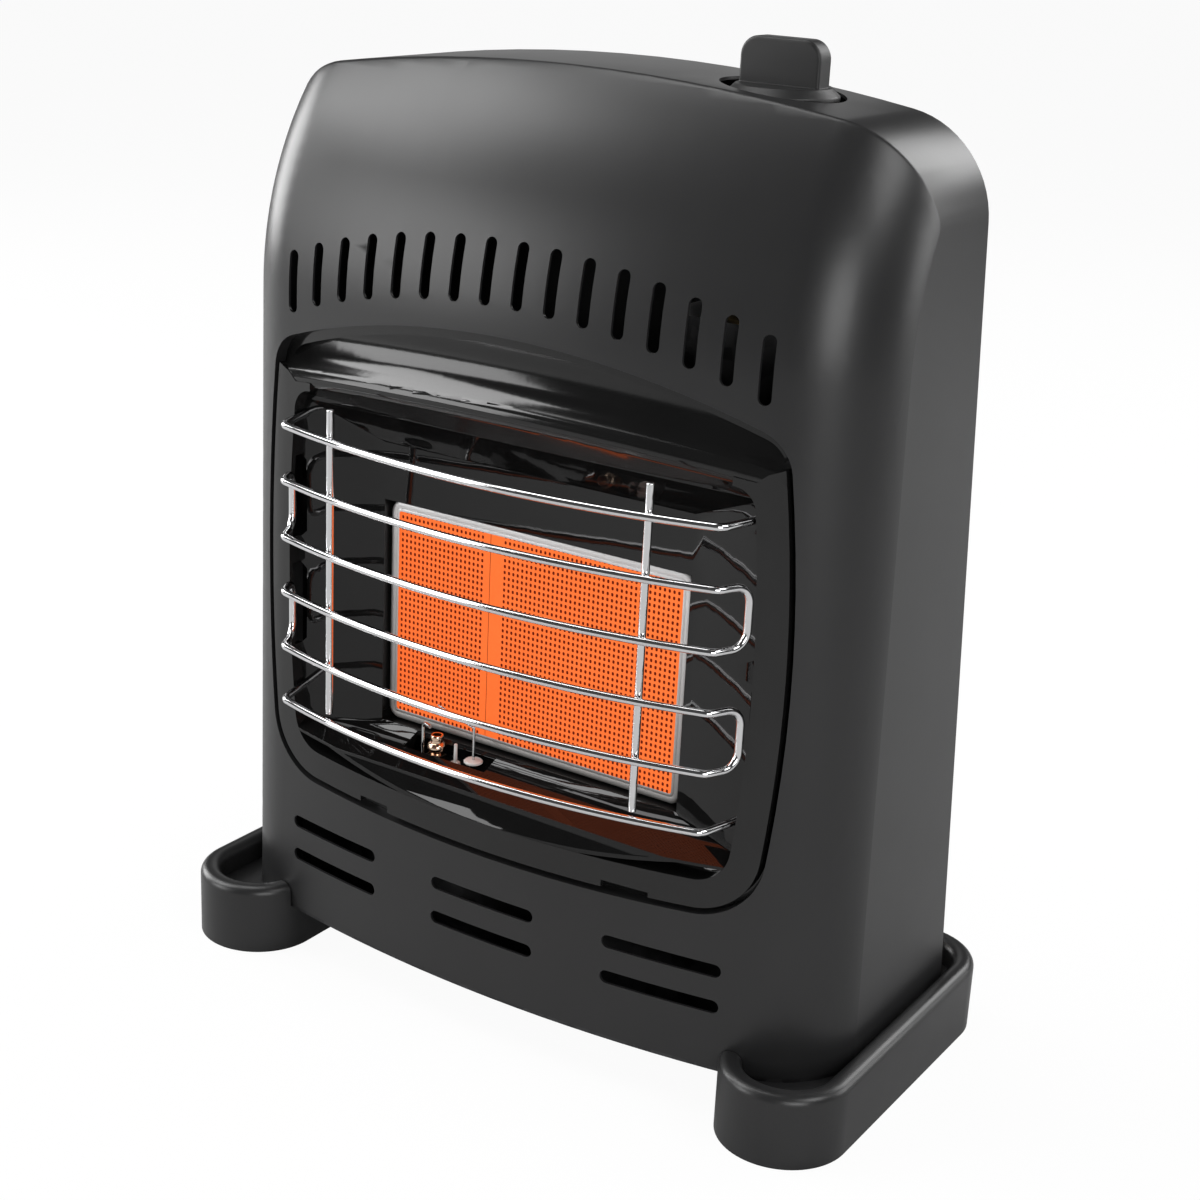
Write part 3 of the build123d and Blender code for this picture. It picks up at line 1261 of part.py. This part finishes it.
cabinet_screw = pan_screw(screw_radius, 6.0, screw_head_radius, 2.0)
cabinet_screws = []
for x, height in back_screw_places:
    seat = Plane(origin=(x, back_y(height), height), x_dir=(1, 0, 0), z_dir=back_plane(0).z_dir)
    cabinet_screws.append(seat.location * cabinet_screw)
save(Compound(children=cabinet_screws), "cabinet_screws")

plenum_screw = pan_screw(screw_radius, 3.0, screw_head_radius, 2.0)
plenum_screws = []
for x, height in plenum_screw_places:
    seat = Plane(origin=(x, chassis_back_y + plenum_sheet, height), x_dir=(1, 0, 0), z_dir=(0, 1, 0))
    plenum_screws.append(seat.location * plenum_screw)
save(Compound(children=plenum_screws), "plenum_screws")

print(len(written), "nodes")
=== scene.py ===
from math import cos, pi, radians, sin

import bmesh
import bpy
from mathutils import Euler, Matrix, Vector


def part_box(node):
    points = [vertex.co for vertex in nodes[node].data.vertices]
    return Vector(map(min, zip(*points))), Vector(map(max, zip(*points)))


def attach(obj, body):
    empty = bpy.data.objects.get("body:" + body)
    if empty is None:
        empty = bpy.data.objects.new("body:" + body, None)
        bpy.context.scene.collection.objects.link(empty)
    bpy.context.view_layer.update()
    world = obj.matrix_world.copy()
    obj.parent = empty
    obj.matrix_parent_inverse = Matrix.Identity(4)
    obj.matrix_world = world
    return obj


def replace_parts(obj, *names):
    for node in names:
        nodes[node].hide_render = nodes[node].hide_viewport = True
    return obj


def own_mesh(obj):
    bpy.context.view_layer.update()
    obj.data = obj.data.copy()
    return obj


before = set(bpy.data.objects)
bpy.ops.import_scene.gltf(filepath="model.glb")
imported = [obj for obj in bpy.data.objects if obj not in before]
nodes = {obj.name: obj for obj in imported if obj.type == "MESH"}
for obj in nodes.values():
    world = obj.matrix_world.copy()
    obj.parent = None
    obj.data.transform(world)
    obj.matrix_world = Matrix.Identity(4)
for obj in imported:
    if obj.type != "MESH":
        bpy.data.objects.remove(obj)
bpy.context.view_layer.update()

# ---------------------------------------------------------------- base pan and chassis
# The cabinet's floor and the upright channel behind the firebox: folded sheet steel,
# galvanised, with the zinc coloured very dark. The zinc keeps a faint spangle and rolling marks.


class Field:
    """A socket whose value varies over a surface. Arithmetic on it adds Math nodes."""

    def __init__(self, socket):
        self.socket = socket

    def math(self, operation, *operands):
        """Add a Math node, whose result is a field again."""
        node = self.socket.id_data.nodes.new("ShaderNodeMath")
        node.operation = operation
        for slot, operand in zip(node.inputs, operands):
            plug(slot, operand)
        return Field(node.outputs[0])

    def __add__(self, other):
        return self.math("ADD", self, other)

    def __sub__(self, other):
        return self.math("SUBTRACT", self, other)

    def __rsub__(self, other):
        return self.math("SUBTRACT", other, self)

    def __mul__(self, other):
        return self.math("MULTIPLY", self, other)

    def __gt__(self, other):
        return self.math("GREATER_THAN", self, other)

    def __lt__(self, other):
        return self.math("LESS_THAN", self, other)

    __radd__ = __add__
    __rmul__ = __mul__


def plug(slot, value):
    """Feed a socket from a field, or set it to a constant."""
    if isinstance(value, Field):
        slot.id_data.links.new(value.socket, slot)
    else:
        slot.default_value = value


class Tree:
    """A node tree to which nodes are added by kind, settings and socket values."""

    def __init__(self, tree):
        self.tree = tree

    def node(self, kind, settings=None, sockets=None, output=0):
        node = self.tree.nodes.new("ShaderNode" + kind)
        for name, value in (settings or {}).items():
            setattr(node, name, value)
        for name, value in (sockets or {}).items():
            plug(node.inputs[name], value)
        return Field(node.outputs[output]) if node.outputs else node


class Finish(Tree):
    """One material. Constants go on its shader's sockets; what varies is fed by nodes."""

    def __init__(self, name, **sockets):
        self.material = bpy.data.materials.new(name)
        self.material.use_nodes = True
        super().__init__(self.material.node_tree)
        self.shader = self.tree.nodes["Principled BSDF"]
        self.feed(**sockets)

    def feed(self, **sockets):
        """Feed the shader's sockets, named in lower case with underscores."""
        for name, value in sockets.items():
            if isinstance(value, tuple) and len(value) == 3:
                value = (*value, 1)
            plug(self.shader.inputs[name.replace("_", " ").title().replace("Ior", "IOR")], value)

    def place(self, stretch=(1, 1, 1)):
        """Object coordinates in metres, stretched per axis."""
        where = self.node("TexCoord", output="Object")
        return self.node("Mapping", sockets={"Vector": where, "Scale": stretch})

    def along(self, axis):
        """Distance along X, Y or Z in metres."""
        return self.node("SeparateXYZ", sockets={"Vector": self.place()}, output=axis)

    def noise(self, size, detail=2.0, stretch=(1, 1, 1), rough=0.5):
        """Cloudy pattern with features of a size in metres, from 0 to 1."""
        sockets = {"Vector": self.place(stretch), "Scale": 1 / size, "Detail": detail, "Roughness": rough}
        return self.node("TexNoise", sockets=sockets)

    def blend(self, factor, first, second):
        """Mix two colours by a field. Sockets 6 and 7 of a Mix node are its two colours."""
        first, second = [color if isinstance(color, Field) else (*color, 1) for color in (first, second)]
        return self.node("Mix", {"data_type": "RGBA"}, {0: factor, 6: first, 7: second}, output=2)

    def bump(self, height, distance, strength=1.0):
        """Normal disturbed by a height field, with a relief in metres."""
        sockets = {"Height": height, "Distance": distance, "Strength": strength}
        self.feed(normal=self.node("Bump", sockets=sockets))

    def coat(self, *names):
        """Give this finish to CAD nodes as they are."""
        for name in names:
            nodes[name].data.materials.clear()
            nodes[name].data.materials.append(self.material)


zinc = Finish("very dark galvanised sheet", metallic=1.0)
spangle_size = 0.00625
spangle = zinc.node("TexVoronoi", sockets={"Vector": zinc.place(), "Scale": 1 / spangle_size}, output="Color")
spangle = zinc.node("SeparateColor", sockets={"Color": spangle})
zinc.feed(
    base_color=zinc.blend(spangle, (0.06, 0.06, 0.062), (0.09, 0.09, 0.092)),
    roughness=0.36 + 0.15 * spangle + 0.1 * zinc.noise(0.02),
)
rolling_marks = zinc.noise(0.0008, stretch=(1, 1, 0.05))
zinc.bump(rolling_marks, 0.00002)
zinc.coat("base_pan", "chassis", "valve_bracket", "heat_shield", "injector_holder", "pilot_bracket")

# ---------------------------------------------------------------- feet
# Two moulded trays of satin black plastic in which the cabinet stands, screwed on from
# below. The mould leaves a fine even grain, and every edge is softly rounded.
foot_edge = 0.0005
crease_angle = 35.0            # degrees, above which an edge stays sharp
flat_angle = 0.05              # degrees, below which two facets lie in one face
weld_distance = 0.000001


def placed(mesh, name, finish, body="root", sharp=crease_angle, borders=()):
    """Turn a bmesh into a piece that rides on a body: smooth faces, creases kept sharp."""
    for face in mesh.faces:
        face.smooth = True
    for edge in mesh.edges:
        if len(edge.link_faces) == 2 and edge.calc_face_angle() > radians(sharp):
            edge.smooth = False
    for edge in borders:
        edge.smooth = False
    data = bpy.data.meshes.new(name)
    mesh.to_mesh(data)
    mesh.free()
    data.materials.append(finish.material)
    piece = bpy.data.objects.new(name, data)
    bpy.context.scene.collection.objects.link(piece)
    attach(piece, body)
    return piece


def eased(node, name, finish, edge=0.0, body="root", sharp=crease_angle, segments=2):
    """The same sheet, wire or moulding, welded, and with its sharp edges rounded."""
    mesh = bmesh.new()
    mesh.from_mesh(nodes[node].data)
    bmesh.ops.remove_doubles(mesh, verts=mesh.verts, dist=weld_distance)
    borders = []
    if edge:
        bmesh.ops.dissolve_limit(mesh, angle_limit=radians(flat_angle), verts=mesh.verts, edges=mesh.edges)
        rims = [
            rim for rim in mesh.edges
            if len(rim.link_faces) == 2 and rim.calc_face_angle() > radians(sharp)
        ]
        rounds = set(bmesh.ops.bevel(
            mesh, geom=rims, offset=edge, offset_type="OFFSET", segments=segments, profile=0.5,
            affect="EDGES", clamp_overlap=True, material=-1)["faces"])
        borders = [rim for rim in mesh.edges if len({face in rounds for face in rim.link_faces}) == 2]
    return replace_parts(placed(mesh, name, finish, body, sharp, borders), node)


moulded = Finish("satin black moulded plastic", specular_ior_level=0.5)
grain = moulded.noise(0.0006, detail=3.0)
moulded.feed(
    base_color=moulded.blend(grain, (0.013, 0.013, 0.0135), (0.02, 0.02, 0.0205)),
    roughness=0.3 + 0.08 * moulded.noise(0.03),
)
moulded.bump(grain, 0.00001, 0.15)
for side in ("left", "right"):
    eased(f"{side}_foot", f"{side}_tray", moulded, foot_edge)

# ---------------------------------------------------------------- burner box
# A folded and welded box of bright stainless sheet behind the tiles, fed by a mixing tube
# of the same steel. A strip of white ceramic fibre paper packs the tiles into it.
steel = Finish("bright stainless sheet", metallic=1.0)
brushing = steel.noise(0.0005, stretch=(0.03, 1, 1))
steel.feed(
    base_color=steel.blend(steel.noise(0.03), (0.52, 0.52, 0.53), (0.66, 0.65, 0.64)),
    roughness=0.3 + 0.12 * brushing,
)
steel.bump(brushing, 0.000008, 0.6)
steel.coat("burner_plenum", "mixing_tube")

fibre = Finish("white ceramic fibre paper", roughness=0.95)
fibre.feed(base_color=fibre.blend(fibre.noise(0.004), (0.78, 0.77, 0.74), (0.88, 0.87, 0.85)))
fibre.bump(fibre.noise(0.0008), 0.0002)
fibre.coat("tile_gasket")

# ---------------------------------------------------------------- ceramic tiles
# Two pressed ceramic plaques pierced by rows of fine gas holes, with a plain strip on
# each side of their joint. The face glows orange, hotter to the upper right, and the
# holes look a dull dark red.
hole_pitch_x = 0.0021
hole_pitch_z = 0.002448
hole_rows = 36
lowest_row = 0.1179
hole_depth = 0.0025
hole_width = 0.00108
hole_rounding = 0.28           # share of a hole's width cut off each of its corners
largest_hole = 1.4e-6          # square metres, well above one hole
tile_corner = 0.0034
facing_front = -0.9            # y of the normal of a face that looks forward
hair = 0.0001                  # within which two points lie in one plane
hottest_colour = (0.95, 0.185, 0.03)
coolest_colour = (0.84, 0.105, 0.01)
hole_colour = (0.13, 0.008, 0.0015)
glow = Finish("glowing ceramic", roughness=0.9, emission_strength=1.0)
upper_right = (glow.along(0) + glow.along(2) - 0.05) * 4.5
heat = 0.35 * glow.noise(0.03) + 0.3 * glow.noise(0.0016) + 0.35 * upper_right
inside = glow.along(1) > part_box("ceramic_tile_left")[0].y + hair
glow.feed(
    base_color=glow.blend(inside, (0.2, 0.05, 0.012), (0.04, 0.008, 0.003)),
    emission_color=glow.blend(inside, glow.blend(heat, coolest_colour, hottest_colour), hole_colour),
)


def pierced_tile(node, first_column, columns, corner_side):
    """Block cut into cells by planes; each cell's middle is eased to a hole and pushed in."""
    low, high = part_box(node)
    mesh = bmesh.new()
    bmesh.ops.create_cube(mesh, size=1.0)
    bmesh.ops.scale(mesh, vec=high - low, verts=mesh.verts)
    bmesh.ops.translate(mesh, vec=(low + high) / 2, verts=mesh.verts)
    outer_x = high.x if corner_side > 0 else low.x
    corners = [
        edge for edge in mesh.edges
        if abs(edge.verts[0].co.x - outer_x) + abs(edge.verts[1].co.x - outer_x) < hair
        and abs(edge.verts[0].co.z - edge.verts[1].co.z) < hair
    ]
    bmesh.ops.bevel(mesh, geom=corners, offset=tile_corner, offset_type="OFFSET", segments=5,
                    profile=0.5, affect="EDGES", material=-1)
    left = first_column - hole_pitch_x / 2
    bottom = lowest_row - hole_pitch_z / 2
    upright_cuts = [((left + index * hole_pitch_x, 0, 0), (1, 0, 0)) for index in range(columns + 1)]
    level_cuts = [((0, 0, bottom + index * hole_pitch_z), (0, 0, 1)) for index in range(hole_rows + 1)]
    for point, normal in upright_cuts + level_cuts:
        bmesh.ops.bisect_plane(mesh, geom=mesh.verts[:] + mesh.edges[:] + mesh.faces[:], plane_co=point,
                               plane_no=normal)
    right = left + columns * hole_pitch_x
    top = bottom + hole_rows * hole_pitch_z
    cells = [
        face for face in mesh.faces
        if face.normal.y < facing_front and left < face.calc_center_median().x < right
        and bottom < face.calc_center_median().z < top
    ]
    web = (hole_pitch_x - hole_width) / 2
    bmesh.ops.inset_individual(mesh, faces=cells, thickness=web, use_even_offset=True)
    rims = [vert for face in cells for vert in face.verts]
    bmesh.ops.bevel(mesh, geom=rims, offset=hole_width * hole_rounding, offset_type="OFFSET", segments=1,
                    profile=0.5, affect="VERTICES", material=-1)
    holes = [
        face for face in mesh.faces
        if len(face.verts) == 8 and face.normal.y < facing_front and face.calc_area() < largest_hole
    ]
    pushed = bmesh.ops.extrude_discrete_faces(mesh, faces=holes)["faces"]
    bmesh.ops.translate(mesh, vec=(0, hole_depth, 0), verts=[vert for face in pushed for vert in face.verts])
    tile = placed(mesh, node.replace("ceramic", "pierced"), glow)
    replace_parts(tile, node)


pierced_tile("ceramic_tile_left", first_column=-0.0658, columns=20, corner_side=-1)
pierced_tile("ceramic_tile_right", first_column=-0.0149, columns=39, corner_side=1)

# ---------------------------------------------------------------- burner frame
# A frame pressed from thin aluminised steel that clips over the tiles. Its outer edge
# rolls back and a shallow bead runs round the window. Its colour is painted light at the top
# and dark at the bottom: painted light and shade from overhead.
frame_low, frame_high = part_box("burner_frame")
frame_corner = 0.0054
frame_roll = 0.0016
frame_sheet = 0.0005
# Each fold of the bead from the rolled edge to the window: its width and its height.
bead = [(0.0013, 0), (0.0002, -0.0002), (0.0002, 0.0002), (0.0009, 0), (0.0002, -0.00012)]
pressed = Finish("matte aluminised steel", metallic=0.6, roughness=0.5)
# Painted light and shade: the frame's colour runs from dark at its lower edge to light at its top.
painted_top_light = (pressed.along(2) - 0.113) * 10.0
mottle = pressed.noise(0.0007)
pressed.feed(base_color=pressed.blend(painted_top_light + 0.1 * mottle, (0.3, 0.29, 0.28), (0.86, 0.86, 0.86)))
pressed.bump(mottle, 0.00001)
rolled = bmesh.new()
bmesh.ops.create_grid(rolled, x_segments=1, y_segments=1, size=0.5)
bmesh.ops.scale(rolled, vec=(frame_high.x - frame_low.x, frame_high.z - frame_low.z, 1), verts=rolled.verts)
bmesh.ops.rotate(rolled, cent=(0, 0, 0), matrix=Matrix.Rotation(pi / 2, 3, "X"), verts=rolled.verts)
bmesh.ops.translate(rolled, vec=(0, frame_high.y, (frame_low.z + frame_high.z) / 2), verts=rolled.verts)
bmesh.ops.bevel(rolled, geom=rolled.verts[:], offset=frame_corner, offset_type="OFFSET", segments=8,
                profile=0.5, affect="VERTICES", material=-1)
back = next(iter(rolled.faces))
skirt = frame_high.y - frame_low.y - frame_roll
grown = bmesh.ops.extrude_face_region(rolled, geom=[back])["geom"]
window = next(face for face in grown if isinstance(face, bmesh.types.BMFace))
bmesh.ops.translate(rolled, vec=(0, -skirt, 0), verts=window.verts)
bmesh.ops.delete(rolled, geom=[back], context="FACES_ONLY")
roll_steps = 5
roll = [pi / 2 * index / roll_steps for index in range(roll_steps + 1)]
rolled_edge = [
    (frame_roll * (cos(low) - cos(high)), frame_roll * (sin(high) - sin(low)))
    for low, high in zip(roll, roll[1:])
]
for across, depth in rolled_edge + bead:
    bmesh.ops.inset_region(rolled, faces=[window], thickness=across, depth=depth, use_even_offset=True,
                           use_boundary=True)
bmesh.ops.delete(rolled, geom=[window], context="FACES_ONLY")
bmesh.ops.solidify(rolled, geom=rolled.faces[:], thickness=frame_sheet)
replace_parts(placed(rolled, "rolled_frame", pressed, sharp=50.0), "burner_frame")

# ---------------------------------------------------------------- gas train
# Machined brass valve, injector and inlet, joined by soft drawn aluminium tube; the
# spark lead runs in a white heat-proof sleeve and the tip-over switch has a black housing.
brass = Finish("machined brass", metallic=1.0)
brass.feed(
    base_color=brass.blend(brass.noise(0.01), (0.42, 0.29, 0.11), (0.55, 0.4, 0.18)),
    roughness=0.26 + 0.14 * brass.noise(0.0006),
)
brass.coat("injector", "gas_valve", "inlet_fitting")

tube = Finish("drawn aluminium tube", metallic=1.0, base_color=(0.5, 0.5, 0.51))
tube.feed(roughness=0.3 + 0.15 * tube.noise(0.004))
tube.coat("supply_tube", "burner_tube", "pilot_tube")

sleeve = Finish("white heat-proof sleeve", roughness=0.7)
sleeve.feed(base_color=sleeve.blend(sleeve.noise(0.002), (0.6, 0.6, 0.58), (0.75, 0.75, 0.72)))
sleeve.coat("ignition_lead")

housing = Finish("black switch housing", base_color=(0.015, 0.015, 0.016))
housing.feed(roughness=0.45 + 0.1 * housing.noise(0.002))
housing.coat("tip_over_switch")

# ---------------------------------------------------------------- firebox
# A funnel of thin pressed steel with a shallow ramp for its floor, dipped in glassy black
# enamel that mirrors the glowing tiles and the guard.
enamel = Finish("glassy black enamel", roughness=0.03, specular_ior_level=0.4)
enamel.feed(base_color=enamel.blend(enamel.noise(0.02), (0.004, 0.004, 0.004), (0.007, 0.007, 0.007)))
enamel.bump(enamel.noise(0.012), 0.00004)
eased("firebox", "funnel", enamel, 0.0003)

# ---------------------------------------------------------------- pilot group
# A brass pilot with its hexagon and cap, a spark rod in a white insulator and a polished
# thermocouple with its white washer stand on a small bracket before the burner.
pilot_y = -0.044
bracket_top = 0.1012


def turned(name, finish, axis, rings, sides=24):
    """Turned part: a short cone carried on through the radii and heights of its rings."""
    mesh = bmesh.new()
    (first, low), (radius, height) = rings[:2]
    bmesh.ops.create_cone(mesh, cap_ends=True, segments=sides, radius1=first, radius2=radius,
                          depth=height - low)
    bmesh.ops.translate(mesh, vec=(0, 0, (low + height) / 2), verts=mesh.verts)
    top = max(mesh.faces, key=lambda face: face.calc_center_median().z)
    for wider, higher in rings[2:]:
        top = bmesh.ops.extrude_discrete_faces(mesh, faces=[top])["faces"][0]
        bmesh.ops.scale(mesh, vec=(wider / radius, wider / radius, 1), verts=top.verts)
        bmesh.ops.translate(mesh, vec=(0, 0, higher - height), verts=top.verts)
        radius, height = wider, higher
    bmesh.ops.translate(mesh, vec=(*axis, 0), verts=mesh.verts)
    return placed(mesh, name, finish)


wire_steel = Finish("polished stainless rod", metallic=1.0, base_color=(0.6, 0.6, 0.6))
wire_steel.feed(roughness=0.12 + 0.1 * wire_steel.noise(0.003))
wire_steel.coat("pilot_shield_wire")

porcelain = Finish("glazed white porcelain", roughness=0.12)
porcelain.feed(base_color=porcelain.blend(porcelain.noise(0.004), (0.72, 0.71, 0.69), (0.8, 0.79, 0.77)))

polished = Finish("polished brass", metallic=1.0)
polished.feed(
    base_color=polished.blend(polished.noise(0.004), (0.72, 0.5, 0.36), (0.8, 0.62, 0.48)),
    roughness=0.1 + 0.08 * polished.noise(0.0008),
)
pilot_axis = (-0.04, pilot_y)
pilot_nut = turned("pilot_nut", polished, pilot_axis, [
    (0.0022, bracket_top), (0.0022, 0.1032), (0.0036, 0.1032), (0.004, 0.1037), (0.004, 0.107),
    (0.0036, 0.1075),
], sides=6)
pilot_body = turned("pilot_body", polished, pilot_axis, [
    (0.0025, 0.107), (0.0025, 0.1082), (0.0034, 0.1086), (0.0039, 0.1094), (0.004, 0.1104), (0.0038, 0.1114),
    (0.0032, 0.1121), (0.0024, 0.1125), (0.0023, 0.1133), (0.0027, 0.1136), (0.0028, 0.115), (0.0025, 0.1155),
    (0.0018, 0.1155), (0.0017, 0.11),
])
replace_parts(pilot_nut, "pilot_burner")
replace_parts(pilot_body, "pilot_burner")

insulator = turned("spark_insulator", porcelain, (-0.0305, pilot_y), [
    (0.0021, 0.091), (0.0022, 0.0914), (0.0022, 0.1052), (0.0019, 0.106), (0.0008, 0.106), (0.0007, 0.1138),
    (0.0004, 0.114),
])
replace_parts(insulator, "spark_electrode")


def rod(name, finish, start, end, radius):
    """Straight round wire between two points."""
    start, end = Vector(start), Vector(end)
    mesh = bmesh.new()
    along = end - start
    bmesh.ops.create_cone(mesh, cap_ends=True, segments=12, radius1=radius, radius2=radius,
                          depth=along.length)
    bmesh.ops.rotate(mesh, cent=(0, 0, 0), matrix=along.to_track_quat("Z", "Y").to_matrix(),
                     verts=mesh.verts)
    bmesh.ops.translate(mesh, vec=(start + end) / 2, verts=mesh.verts)
    return placed(mesh, name, finish)


probe_axis = (-0.0215, pilot_y)
probe = turned("thermocouple_probe", wire_steel, probe_axis, [
    (0.0014, 0.091), (0.0015, 0.0913), (0.0015, 0.1075), (0.0011, 0.1078), (0.0006, 0.108), (0.0006, 0.1236),
    (0.0003, 0.124),
])
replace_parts(probe, "thermocouple")
turned("thermocouple_washer", porcelain, probe_axis, [
    (0.0034, 0.1081), (0.0039, 0.1085), (0.0039, 0.1091), (0.0034, 0.1095), (0.0007, 0.1096),
])
tip_start = (*probe_axis, 0.1233)
tip_end = (-0.0405, pilot_y + 0.001, 0.1281)
rod("thermocouple_tip", wire_steel, tip_start, tip_end, radius=0.00045)

# ---------------------------------------------------------------- bezel and brow
# One pressed surround in gloss black enamel: side and lower bands, and a hollow brow
# with a rounded lip over the firebox.
gloss = Finish("gloss black enamel", roughness=0.12, specular_ior_level=0.5)
gloss.feed(base_color=gloss.blend(gloss.noise(0.02), (0.006, 0.006, 0.006), (0.01, 0.01, 0.01)))
gloss.bump(gloss.noise(0.006), 0.00003)
eased("bezel", "surround", gloss, 0.0009, sharp=55.0, segments=3)

# ---------------------------------------------------------------- guard
# Three-millimetre steel wire bent to the bow of the front: two bars, two closed loops and
# two upright rods spot-welded behind them, all plated with bright chrome.
chrome = Finish("bright chrome", metallic=1.0, base_color=(0.82, 0.82, 0.83))
chrome.feed(roughness=0.05 + 0.05 * chrome.noise(0.01))
for node in ("guard_bottom_bar", "guard_top_bar", "guard_lower_loop", "guard_upper_loop",
             "guard_left_rod", "guard_right_rod"):
    eased(node, node.replace("guard", "chromed"), chrome, sharp=60.0)

# ---------------------------------------------------------------- cover and back
# The bowed cabinet cover and its leaning back panel: deep-drawn steel in satin black
# baked enamel with a slight orange peel. The punched slots have small rounded rims.
satin = Finish("satin black baked enamel", specular_ior_level=0.5)
peel = satin.noise(0.0016, detail=2.0)
satin.feed(
    base_color=satin.blend(satin.noise(0.05), (0.014, 0.014, 0.0145), (0.019, 0.019, 0.0195)),
    roughness=0.32 + 0.05 * satin.noise(0.03),
)
satin.bump(peel, 0.00002, 0.5)
eased("front_cover", "cabinet_cover", satin, 0.00045, sharp=38.0)
satin.coat("back_panel")

# ---------------------------------------------------------------- knob and spring
# Moulded charcoal plastic with a fine grain: a round skirt and a straight grip blade on
# a polished steel stem. A coil spring under a washer lifts it.
wire_steel.coat("valve_stem", "spring_washer")
coil = eased("return_spring", "coil_spring", wire_steel, sharp=60.0)
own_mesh(coil)
knob_grain = Finish("fine-grained charcoal plastic")
fine = knob_grain.noise(0.0004, detail=3.0)
knob_grain.feed(
    base_color=knob_grain.blend(fine, (0.006, 0.006, 0.0063), (0.011, 0.011, 0.0113)),
    roughness=0.42 + 0.1 * fine,
)
knob_grain.bump(fine, 0.00002)
eased("control_knob", "grip_knob", knob_grain, 0.0003, body="knob")

# ---------------------------------------------------------------- screws
# Pan-head steel screws with cross recesses, zinc-plated, hold the feet, the back and
# the burner box. They are driven into moulded or punched holes.
plated = Finish("zinc-plated screw", metallic=1.0, base_color=(0.62, 0.62, 0.64))
plated.feed(roughness=0.25 + 0.15 * plated.noise(0.001))
plated.coat("foot_screws", "cabinet_screws", "plenum_screws")

# ---------------------------------------------------------------- studio
# A plain sheet under the heater, white walls that hardly light it, and nine square soft
# lamps round it, stronger on the left and behind on the right.
scene = bpy.context.scene
scene.view_settings.view_transform = "Standard"

sheet_half_width = 14.0
sheet = bmesh.new()
bmesh.ops.create_grid(sheet, x_segments=1, y_segments=1, size=sheet_half_width)
sheet_data = bpy.data.meshes.new("studio_floor")
sheet.to_mesh(sheet_data)
sheet.free()
studio_floor = bpy.data.objects.new("studio_floor", sheet_data)
scene.collection.objects.link(studio_floor)

paper_material = bpy.data.materials.new("white paper")
paper_material.use_nodes = True
paper_material.node_tree.nodes.clear()
paper = Tree(paper_material.node_tree)
seen = paper.node("LightPath", output="Is Camera Ray")
mirrored = paper.node("LightPath", output="Is Glossy Ray")
grey, white = (0.5, 0.5, 0.5, 1), (0.9, 0.9, 0.9, 1)
tone = paper.node("Mix", {"data_type": "RGBA"}, {0: seen, 6: grey, 7: white}, output=2)
matte = paper.node("BsdfDiffuse", sockets={"Color": tone})
shine = paper.node("Emission", sockets={"Strength": 1.0})
both = paper.node("MixShader", sockets={0: 0.95 * seen + 0.05 * mirrored, 1: matte, 2: shine})
paper.node("OutputMaterial", sockets={"Surface": both})
sheet_data.materials.append(paper_material)

world = bpy.data.worlds.new("studio")
scene.world = world
world.use_nodes = True
world.node_tree.nodes.clear()
walls = Tree(world.node_tree)
direct = walls.node("LightPath", output="Is Camera Ray")
direct = direct + walls.node("LightPath", output="Is Transmission Ray")
backdrop = walls.node("Background", sockets={"Color": (1, 1, 1, 1), "Strength": 0.06 + 0.94 * direct})
walls.node("OutputWorld", sockets={"Surface": backdrop})

lamp_side = 0.9
lamp_aim = Vector((0, 0, 0.2))


def softbox(name, place, power):
    """Square studio lamp aimed at the middle of the heater."""
    data = bpy.data.lights.new(name, "AREA")
    data.shape = "RECTANGLE"
    data.size = data.size_y = lamp_side
    data.energy = power
    lamp = bpy.data.objects.new(name, data)
    scene.collection.objects.link(lamp)
    lamp.location = place
    lamp.rotation_euler = (lamp_aim - Vector(place)).to_track_quat("-Z", "Y").to_euler()


softbox("upper_left", (-1.37, -0.57, 1.54), 17.0)
softbox("top_left", (-0.62, 0, 2.1), 10.0)
softbox("left", (-1.96, 0, 0.62), 20.0)
softbox("front_left", (-1.38, -1.38, 0.62), 13.0)
softbox("front_right", (1.38, -1.38, 0.62), 13.0)
softbox("upper_right", (1.47, -0.2, 1.54), 13.0)
softbox("right", (1.5, 1.26, 0.62), 10.0)
softbox("back_left", (-1.03, 1.58, 0.86), 1.4)
softbox("back_right", (0.62, 1.58, 1.18), 14.0)

camera_data = bpy.data.cameras.new("camera")
camera_data.lens = 62.7435
camera_data.sensor_width = 36.0
camera_data.clip_start = 0.01
camera = bpy.data.objects.new("camera", camera_data)
scene.collection.objects.link(camera)
eye = (0.4345607, -0.6716234, 0.4545676)
looking_down = 0.3400774505
turned_left = 0.5665803548
rolled_over = 0.0494890858
aim = Euler((pi / 2 - looking_down, 0, turned_left)).to_matrix() @ Matrix.Rotation(rolled_over, 3, "Z")
camera.matrix_world = Matrix.Translation(eye) @ aim.to_4x4()
scene.camera = camera
